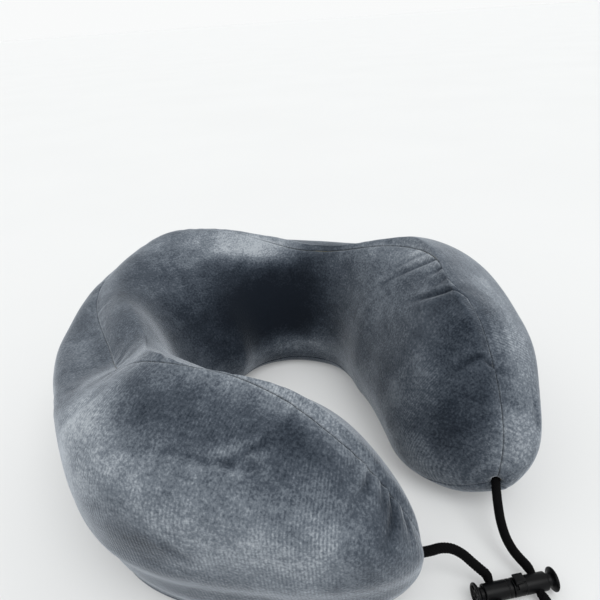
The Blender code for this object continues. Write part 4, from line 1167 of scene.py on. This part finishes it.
def housing_left():
    profile = [
        (0.0, 4.8), (1.1, 4.8), (1.5, 4.4), (1.0, 2.4), (1.0, 0.0), (4.0, 0.0), (BARREL_RADIUS, -0.3),
        (BARREL_RADIUS, -1.7), (GROOVE_RADIUS, -1.9), (GROOVE_RADIUS, -2.3), (BARREL_RADIUS, -2.5),
        (BARREL_RADIUS, -LEFT_BARREL_LENGTH + 0.4), (BARREL_RADIUS - 0.4, -LEFT_BARREL_LENGTH),
        (BORE_RADIUS, -LEFT_BARREL_LENGTH), (BORE_RADIUS, -1.2), (0.0, -1.2),
    ]
    made = turned_piece("left_lock_housing", profile, ACETAL)
    cross_cut(made, -LEFT_HOLE_PLACE, 0.0)
    return smooth_by_angle(made)


def housing_right():
    profile = [
        (0.0, 6.0), (BORE_RADIUS, 6.0), (BORE_RADIUS, RIGHT_BARREL_LENGTH),
        (BARREL_RADIUS - 0.4, RIGHT_BARREL_LENGTH), (BARREL_RADIUS, RIGHT_BARREL_LENGTH - 0.4),
        (BARREL_RADIUS, 6.6), (GROOVE_RADIUS, 6.4), (GROOVE_RADIUS, 6.0), (BARREL_RADIUS, 5.8),
        (BARREL_RADIUS, 0.6), (4.0, 0.3), (1.8, 0.3), (1.8, 5.1), (0.0, 5.1),
    ]
    made = turned_piece("right_lock_housing", profile, ACETAL)
    cross_cut(made, RIGHT_HOLE_PLACE, 0.0)
    work = bmesh.new()
    # The window in the barrel that the thumb tab stands in.
    add_box(work, (0.9, -3.3, -3.75), (2.5, 3.3, 6.3))
    bmesh.ops.recalc_face_normals(work, faces=work.faces)
    cut_with(made, work)
    return smooth_by_angle(made)


def lock_button(name, side, hole_place, barrel_length):
    """Plunger with a slot for the cord and a trumpet shaped button with a ribbed hollow face."""
    inner_end = hole_place - HOLE_HALF - 1.0
    neck_end = barrel_length + BUTTON_TRAVEL + 0.2
    rim = neck_end + 0.9
    end = rim + BUTTON_THICKNESS
    profile = [
        (0.0, end - 0.95), (1.2, end - 0.95), (1.5, end - 0.45), (2.1, end - 0.45), (2.4, end - 0.95),
        (BUTTON_RADIUS - 1.5, end - 0.95), (BUTTON_RADIUS - 1.0, end), (BUTTON_RADIUS - 0.35, end),
        (BUTTON_RADIUS, end - 0.35), (BUTTON_RADIUS, rim + 0.1), (BUTTON_RADIUS - 0.7, rim - 0.35),
        (BUTTON_RADIUS - 1.7, rim - 0.65), (PLUNGER_RADIUS + 0.25, neck_end - 0.2),
        (PLUNGER_RADIUS, neck_end - 0.5), (PLUNGER_RADIUS, inner_end), (0.0, inner_end),
    ]
    made = turned_piece(name, profile, ACETAL, mirror=side < 0)
    cross_cut(made, side * hole_place, side * BUTTON_TRAVEL)
    work = bmesh.new()
    for k in range(6):
        turn_rib(work, k * math.pi / 3, side, end)
    bmesh.ops.recalc_face_normals(work, faces=work.faces)
    cut_with(made, work, "UNION")
    return smooth_by_angle(made)


def turn_rib(work, angle, side, end):
    """One rib across the hollow face of a button."""
    centre, along_it = buckle_frame()[:2]
    way = around_buckle(angle)
    over = np.cross(along_it, way)
    verts = []
    # From its foot to its lip, from the boss to the rim, and 0.56 mm thick.
    for x, y, z in itertools.product((end - 1.3, end - 0.45), (2.2, 4.5), (-0.28, 0.28)):
        verts.append(work.verts.new((centre + along_it * x * side + way * y + over * z) * MM))
    for face in BOX_FACES:
        work.faces.new([verts[c] for c in face])


def softened(node, name, finish, width):
    """A copy of a frame part with its corners rounded, in the same place."""
    made = in_scene(name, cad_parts[node].data.copy())
    made.data.materials.clear()
    made.data.materials.append(finish)
    work = bmesh.new()
    work.from_mesh(made.data)
    bmesh.ops.remove_doubles(work, verts=work.verts, dist=2e-6)
    bmesh.ops.dissolve_limit(work, angle_limit=math.radians(2.0), verts=work.verts, edges=work.edges)
    work.to_mesh(made.data)
    work.free()
    edge = made.modifiers.new("round", "BEVEL")
    edge.width = width * MM
    edge.segments = 3
    edge.limit_method = "ANGLE"
    edge.angle_limit = math.radians(35.0)
    edge.use_clamp_overlap = True
    settled(made)
    return smooth_by_angle(made)


left_barrel, right_barrel = housing_left(), housing_right()
left_button = lock_button("left_lock_button", -1.0, LEFT_HOLE_PLACE, LEFT_BARREL_LENGTH)
right_button = lock_button("right_lock_button", 1.0, RIGHT_HOLE_PLACE, RIGHT_BARREL_LENGTH)
pieces = [
    (left_barrel, "left_housing", "pillow", "buckle_plastic"),
    (right_barrel, "right_housing", "right_half", "buckle_plastic"),
    (left_button, "left_button", "left_button", "buckle_plastic"),
    (right_button, "right_button", "right_button", "buckle_plastic"),
    (softened("latch_button", "snap_release_tab", ACETAL, 0.45), "latch_button", "latch", "buckle_plastic"),
    (softened("zip_slider", "zip_slider_body", ZINC, 0.22), "zip_slider", "slider", "zip_metal"),
    (softened("zip_pull", "zip_pull_tab", ZINC, 0.22), "zip_pull", "pull", "zip_metal"),
    (softened("zip_top_stop", "zip_top_stop_clip", ZINC, 0.2), "zip_top_stop", "pillow", "zip_metal"),
    (softened("zip_end_stop", "zip_end_stop_clip", ZINC, 0.2), "zip_end_stop", "pillow", "zip_metal"),
]
for made, node, body, slot_name in pieces:
    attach(made, body)
    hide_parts(node)


def wire_spring(name, start, end, body, node):
    """A spring of drawn wire between two places along the buckle, which its button presses flat."""
    centre, along_it = buckle_frame()[:2]
    turns, steps = 3, 40
    line = []
    for i in range(turns * steps + 1):
        x = start + (end - start) * i / (turns * steps)
        line.append(centre + along_it * x + around_buckle(2 * math.pi * i / steps) * SPRING_RADIUS)
    line = np.array(line)
    made = closed_tube(name, line[:, None] + rings_along(line, 12) * WIRE_RADIUS, STEEL)
    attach(made, body)
    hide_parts(node)
    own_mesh(made)


wire_spring(
    "left_lock_spring", -1.7, -(LEFT_HOLE_PLACE - HOLE_HALF - 1.0) + 0.5, "pillow", "left_spring",
)
wire_spring(
    "right_lock_spring", 6.5, RIGHT_HOLE_PLACE - HOLE_HALF - 1.0 - 0.5, "right_half", "right_spring",
)

# ---- zip ----
ZIP_ROWS = np.linspace(-ZIP_END_SHARE, ZIP_END_SHARE, 161)
COIL_OUT = ZIP_TAPE_DEPTH - 0.3 - 1.1


def zip_points(shift, depth, rows=ZIP_ROWS):
    """A line along the zip, a shift down the wall and a depth under the skin."""
    place = np.full((len(rows), 1), ZIP_LINE + shift / nape_speed(ZIP_LINE))
    return (raw_skin(rows, place) - skin_normals(rows, place) * depth)[:, 0]


def zip_tape(side, name, node):
    """A woven tape, with the raised rib that the coil is sewn to."""
    low, high = 0.5, ZIP_TAPE_WIDTH + 0.5
    shifts = np.linspace(low, high, 15) * side
    if side < 0:
        shifts = shifts[::-1]
    distance = np.abs(np.abs(shifts) - 2.3)
    rib = 0.22 * np.exp(-((distance / 0.35) ** 2))
    outer = np.stack([zip_points(s, ZIP_TAPE_DEPTH - r) for s, r in zip(shifts, rib)], 1)
    inner = np.stack([zip_points(s, ZIP_TAPE_DEPTH + ZIP_TAPE_THICKNESS) for s in shifts], 1)
    kept = np.ones((len(ZIP_ROWS) - 1, len(shifts) - 1), bool)
    length = ZIP_ROWS * HALF_LENGTH / NAPE_ARC_RADIUS * ZIP_TAPE_RADIUS
    uv = np.stack(np.broadcast_arrays(length[:, None], shifts[None, :]), -1) * MM
    made = closed_shell(name, outer, inner, kept, uv, TAPE)
    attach(made, "pillow")
    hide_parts(node)
    return made


zip_tape(-1.0, "zip_tape_upper_weave", "zip_tape_upper")
zip_tape(1.0, "zip_tape_lower_weave", "zip_tape_lower")


def path_object(name, line):
    """A poly curve in metres, for a node tree to lay pieces along."""
    curve = bpy.data.curves.new(name, "CURVE")
    curve.dimensions = "3D"
    spline = curve.splines.new("POLY")
    spline.points.add(len(line) - 1)
    spline.points.foreach_set("co", np.concatenate([line * MM, np.ones((len(line), 1))], 1).ravel())
    return in_scene(name, curve)


def beads_tree():
    """Rounded beads laid along a path, each turned across it: zip teeth and stitches."""
    tree = bpy.data.node_groups.new("beads along a path", "GeometryNodeTree")
    tree.interface.new_socket("Geometry", in_out="OUTPUT", socket_type="NodeSocketGeometry")
    for socket, kind, start in (
        ("Geometry", "NodeSocketGeometry", None), ("Spacing", "NodeSocketFloat", 0.0014),
        ("Start", "NodeSocketFloat", 0.0), ("Length", "NodeSocketFloat", 0.002),
        ("Width", "NodeSocketFloat", 0.0007), ("Thickness", "NodeSocketFloat", 0.0009),
        ("Turn", "NodeSocketFloat", 0.0), ("Finish", "NodeSocketMaterial", None),
    ):
        made = tree.interface.new_socket(socket, in_out="INPUT", socket_type=kind)
        if start is not None:
            made.default_value = start
    enter = tree.nodes.new("NodeGroupInput").outputs
    leave = tree.nodes.new("NodeGroupOutput").inputs
    # Sockets 4 and 5 are the start and end in metres, and the end is past any zip.
    trimmed = add_node(tree, "GeometryNodeTrimCurve", {"mode": "LENGTH"}, {
        0: enter["Geometry"], 4: enter["Start"], 5: 10.0,
    })
    points = add_node(tree, "GeometryNodeCurveToPoints", {"mode": "LENGTH"}, {
        "Curve": trimmed[0], "Length": enter["Spacing"],
    })
    ball = add_node(tree, "GeometryNodeMeshUVSphere", None, {"Segments": 8, "Rings": 6, "Radius": 0.5})
    scale = add_node(tree, "ShaderNodeCombineXYZ", None, {
        "X": enter["Thickness"], "Y": enter["Width"], "Z": enter["Length"],
    })
    spin = add_node(tree, "ShaderNodeCombineXYZ", None, {"X": enter["Turn"]})
    laid = add_node(tree, "GeometryNodeInstanceOnPoints", None, {
        "Points": points["Points"], "Instance": ball["Mesh"], "Rotation": points["Rotation"],
        "Scale": scale[0],
    })
    turned = add_node(tree, "GeometryNodeRotateInstances", None, {
        "Instances": laid["Instances"], "Rotation": spin[0],
    })
    real = add_node(tree, "GeometryNodeRealizeInstances", None, {"Geometry": turned[0]})
    shaded = add_node(tree, "GeometryNodeSetShadeSmooth", None, {"Geometry": real[0]})
    dressed = add_node(tree, "GeometryNodeSetMaterial", None, {
        "Geometry": shaded[0], "Material": enter["Finish"],
    })
    tree.links.new(dressed[0], leave[0])
    return tree


BEADS = beads_tree()


def beads(name, line, finish, **sizes):
    """Run the bead tree over one line and keep its result as a plain mesh."""
    path = path_object(name + "_path", line)
    step = path.modifiers.new("beads", "NODES")
    step.node_group = BEADS
    sockets = {item.name: item.identifier for item in BEADS.interface.items_tree if item.in_out == "INPUT"}
    step[sockets["Finish"]] = finish
    for key, value in sizes.items():
        step[sockets[key]] = value
    mesh = evaluated_mesh(path)
    bpy.data.objects.remove(path, do_unlink=True)
    return in_scene(name, mesh)


COIL_PITCH = 1.5
# The stops stand in the last 2.2 mm at each end.
COIL_END_SHARE = ZIP_END_SHARE - 2.2 / ZIP_TAPE_RADIUS * NAPE_ARC_RADIUS / HALF_LENGTH
coil_rows = ZIP_ROWS[np.abs(ZIP_ROWS) < COIL_END_SHARE]
for side, name, start in ((-1.0, "upper", 0.0), (1.0, "lower", COIL_PITCH / 2)):
    line = zip_points(side * 0.75, (COIL_OUT + ZIP_TAPE_DEPTH - 0.3) / 2, coil_rows)
    teeth = beads(
        f"zip_coil_{name}_teeth", line, NYLON, Spacing=COIL_PITCH * MM, Start=start * MM, Length=0.95 * MM,
        Width=2.3 * MM, Thickness=1.15 * MM,
    )
    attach(teeth, "pillow")
    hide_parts(f"zip_coil_{name}")
for side, name in ((-1.0, "upper"), (1.0, "lower")):
    rows = np.linspace(-WINDOW_SHARE, WINDOW_SHARE, 161)
    line = zip_points(side * (ZIP_WINDOW_HALF + 2.4), -0.12, rows)
    stitches = beads(
        f"zip_{name}_top_stitching", line, THREAD, Spacing=3.0 * MM, Length=2.4 * MM, Width=0.5 * MM,
        Thickness=0.4 * MM,
    )
    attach(stitches, "pillow")

# ---- foam core ----
def foam_block():
    """One moulded block under the cover, with its own closed ends."""
    rows = ROWS[np.abs(ROWS) < 0.992][::2]
    places = np.tile(np.linspace(0.0, 10.0, 161)[:-1], (len(rows), 1))
    points = raw_skin(rows, places)
    points = points + skin_normals(rows, places) * (shaping(points) - FOAM_INSET)[..., None]
    made = closed_tube("moulded_foam_core", points, FOAM)
    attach(made, "pillow")
    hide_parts("foam_core")


foam_block()


# ---- floor, light and camera ----
def pale_floor():
    """A wide pale floor that glows by itself: painted light that keeps the shadows on it thin."""
    # The emission is painted light, which also lights the pillow's underside from below.
    made, tree, shader = new_material("pale_floor_painted_glow", {
        "Roughness": 0.6, "Specular IOR Level": 0.2, "Emission Color": colour("#fafbfb"),
        "Emission Strength": 0.20,
    })
    solid = add_node(tree, "ShaderNodeTexCoord")["Object"]
    clouds = add_node(tree, "ShaderNodeTexNoise", None, {"Vector": solid, "Scale": lumps(300.0)})["Fac"]
    dress(tree, shader, (clouds, [(0.3, "#c4c5c5"), (0.7, "#c6c7c7")]))
    # A disc 40 m in radius, just under the pillow.
    sides, reach = 96, 40.0 / MM
    angle = np.linspace(0.0, 2 * math.pi, sides, endpoint=False)
    rim = np.stack([np.cos(angle), np.sin(angle), np.zeros(sides)], -1) * reach
    points = np.concatenate([[[0.0, 0.0, 0.0]], rim]) - np.array([0.0, 0.0, 0.4])
    faces = [[0, 1 + k, 1 + (k + 1) % sides] for k in range(sides)]
    mesh_object("pale_floor", points, faces, made)


pale_floor()


def window_light(position, spread, strength):
    """Daylight through a wide window: it comes from one side with a broad soft edge."""
    lamp = bpy.data.lights.new("window_light", "SUN")
    lamp.energy = strength
    lamp.angle = math.radians(spread)
    made = in_scene("window_light", lamp)
    made.location = position
    made.rotation_euler = (-Vector(position)).to_track_quat("-Z", "Y").to_euler()


window_light((-0.10, -0.62, 1.05), 40.0, 1.2)
world = bpy.data.worlds.new("pale room")
world.use_nodes = True
sky = world.node_tree.nodes["Background"]
sky.inputs["Color"].default_value = colour("#fbfcfc")
sky.inputs["Strength"].default_value = 0.985
bpy.context.scene.world = world
bpy.context.scene.view_settings.view_transform = "Standard"

camera = bpy.data.cameras.new("camera")
camera.sensor_width = 36.0
camera.lens = 31.56
seat = in_scene("camera", camera)
right = (0.748, -0.66097, -0.06006)
top = (0.35434, 0.3212, 0.87822)
behind = (-0.56119, -0.67819, 0.47447)
turn = Matrix((right, top, behind)).transposed().to_4x4()
turn.translation = (-0.17217, -0.23263, 0.25088)
seat.matrix_world = turn
bpy.context.scene.camera = seat
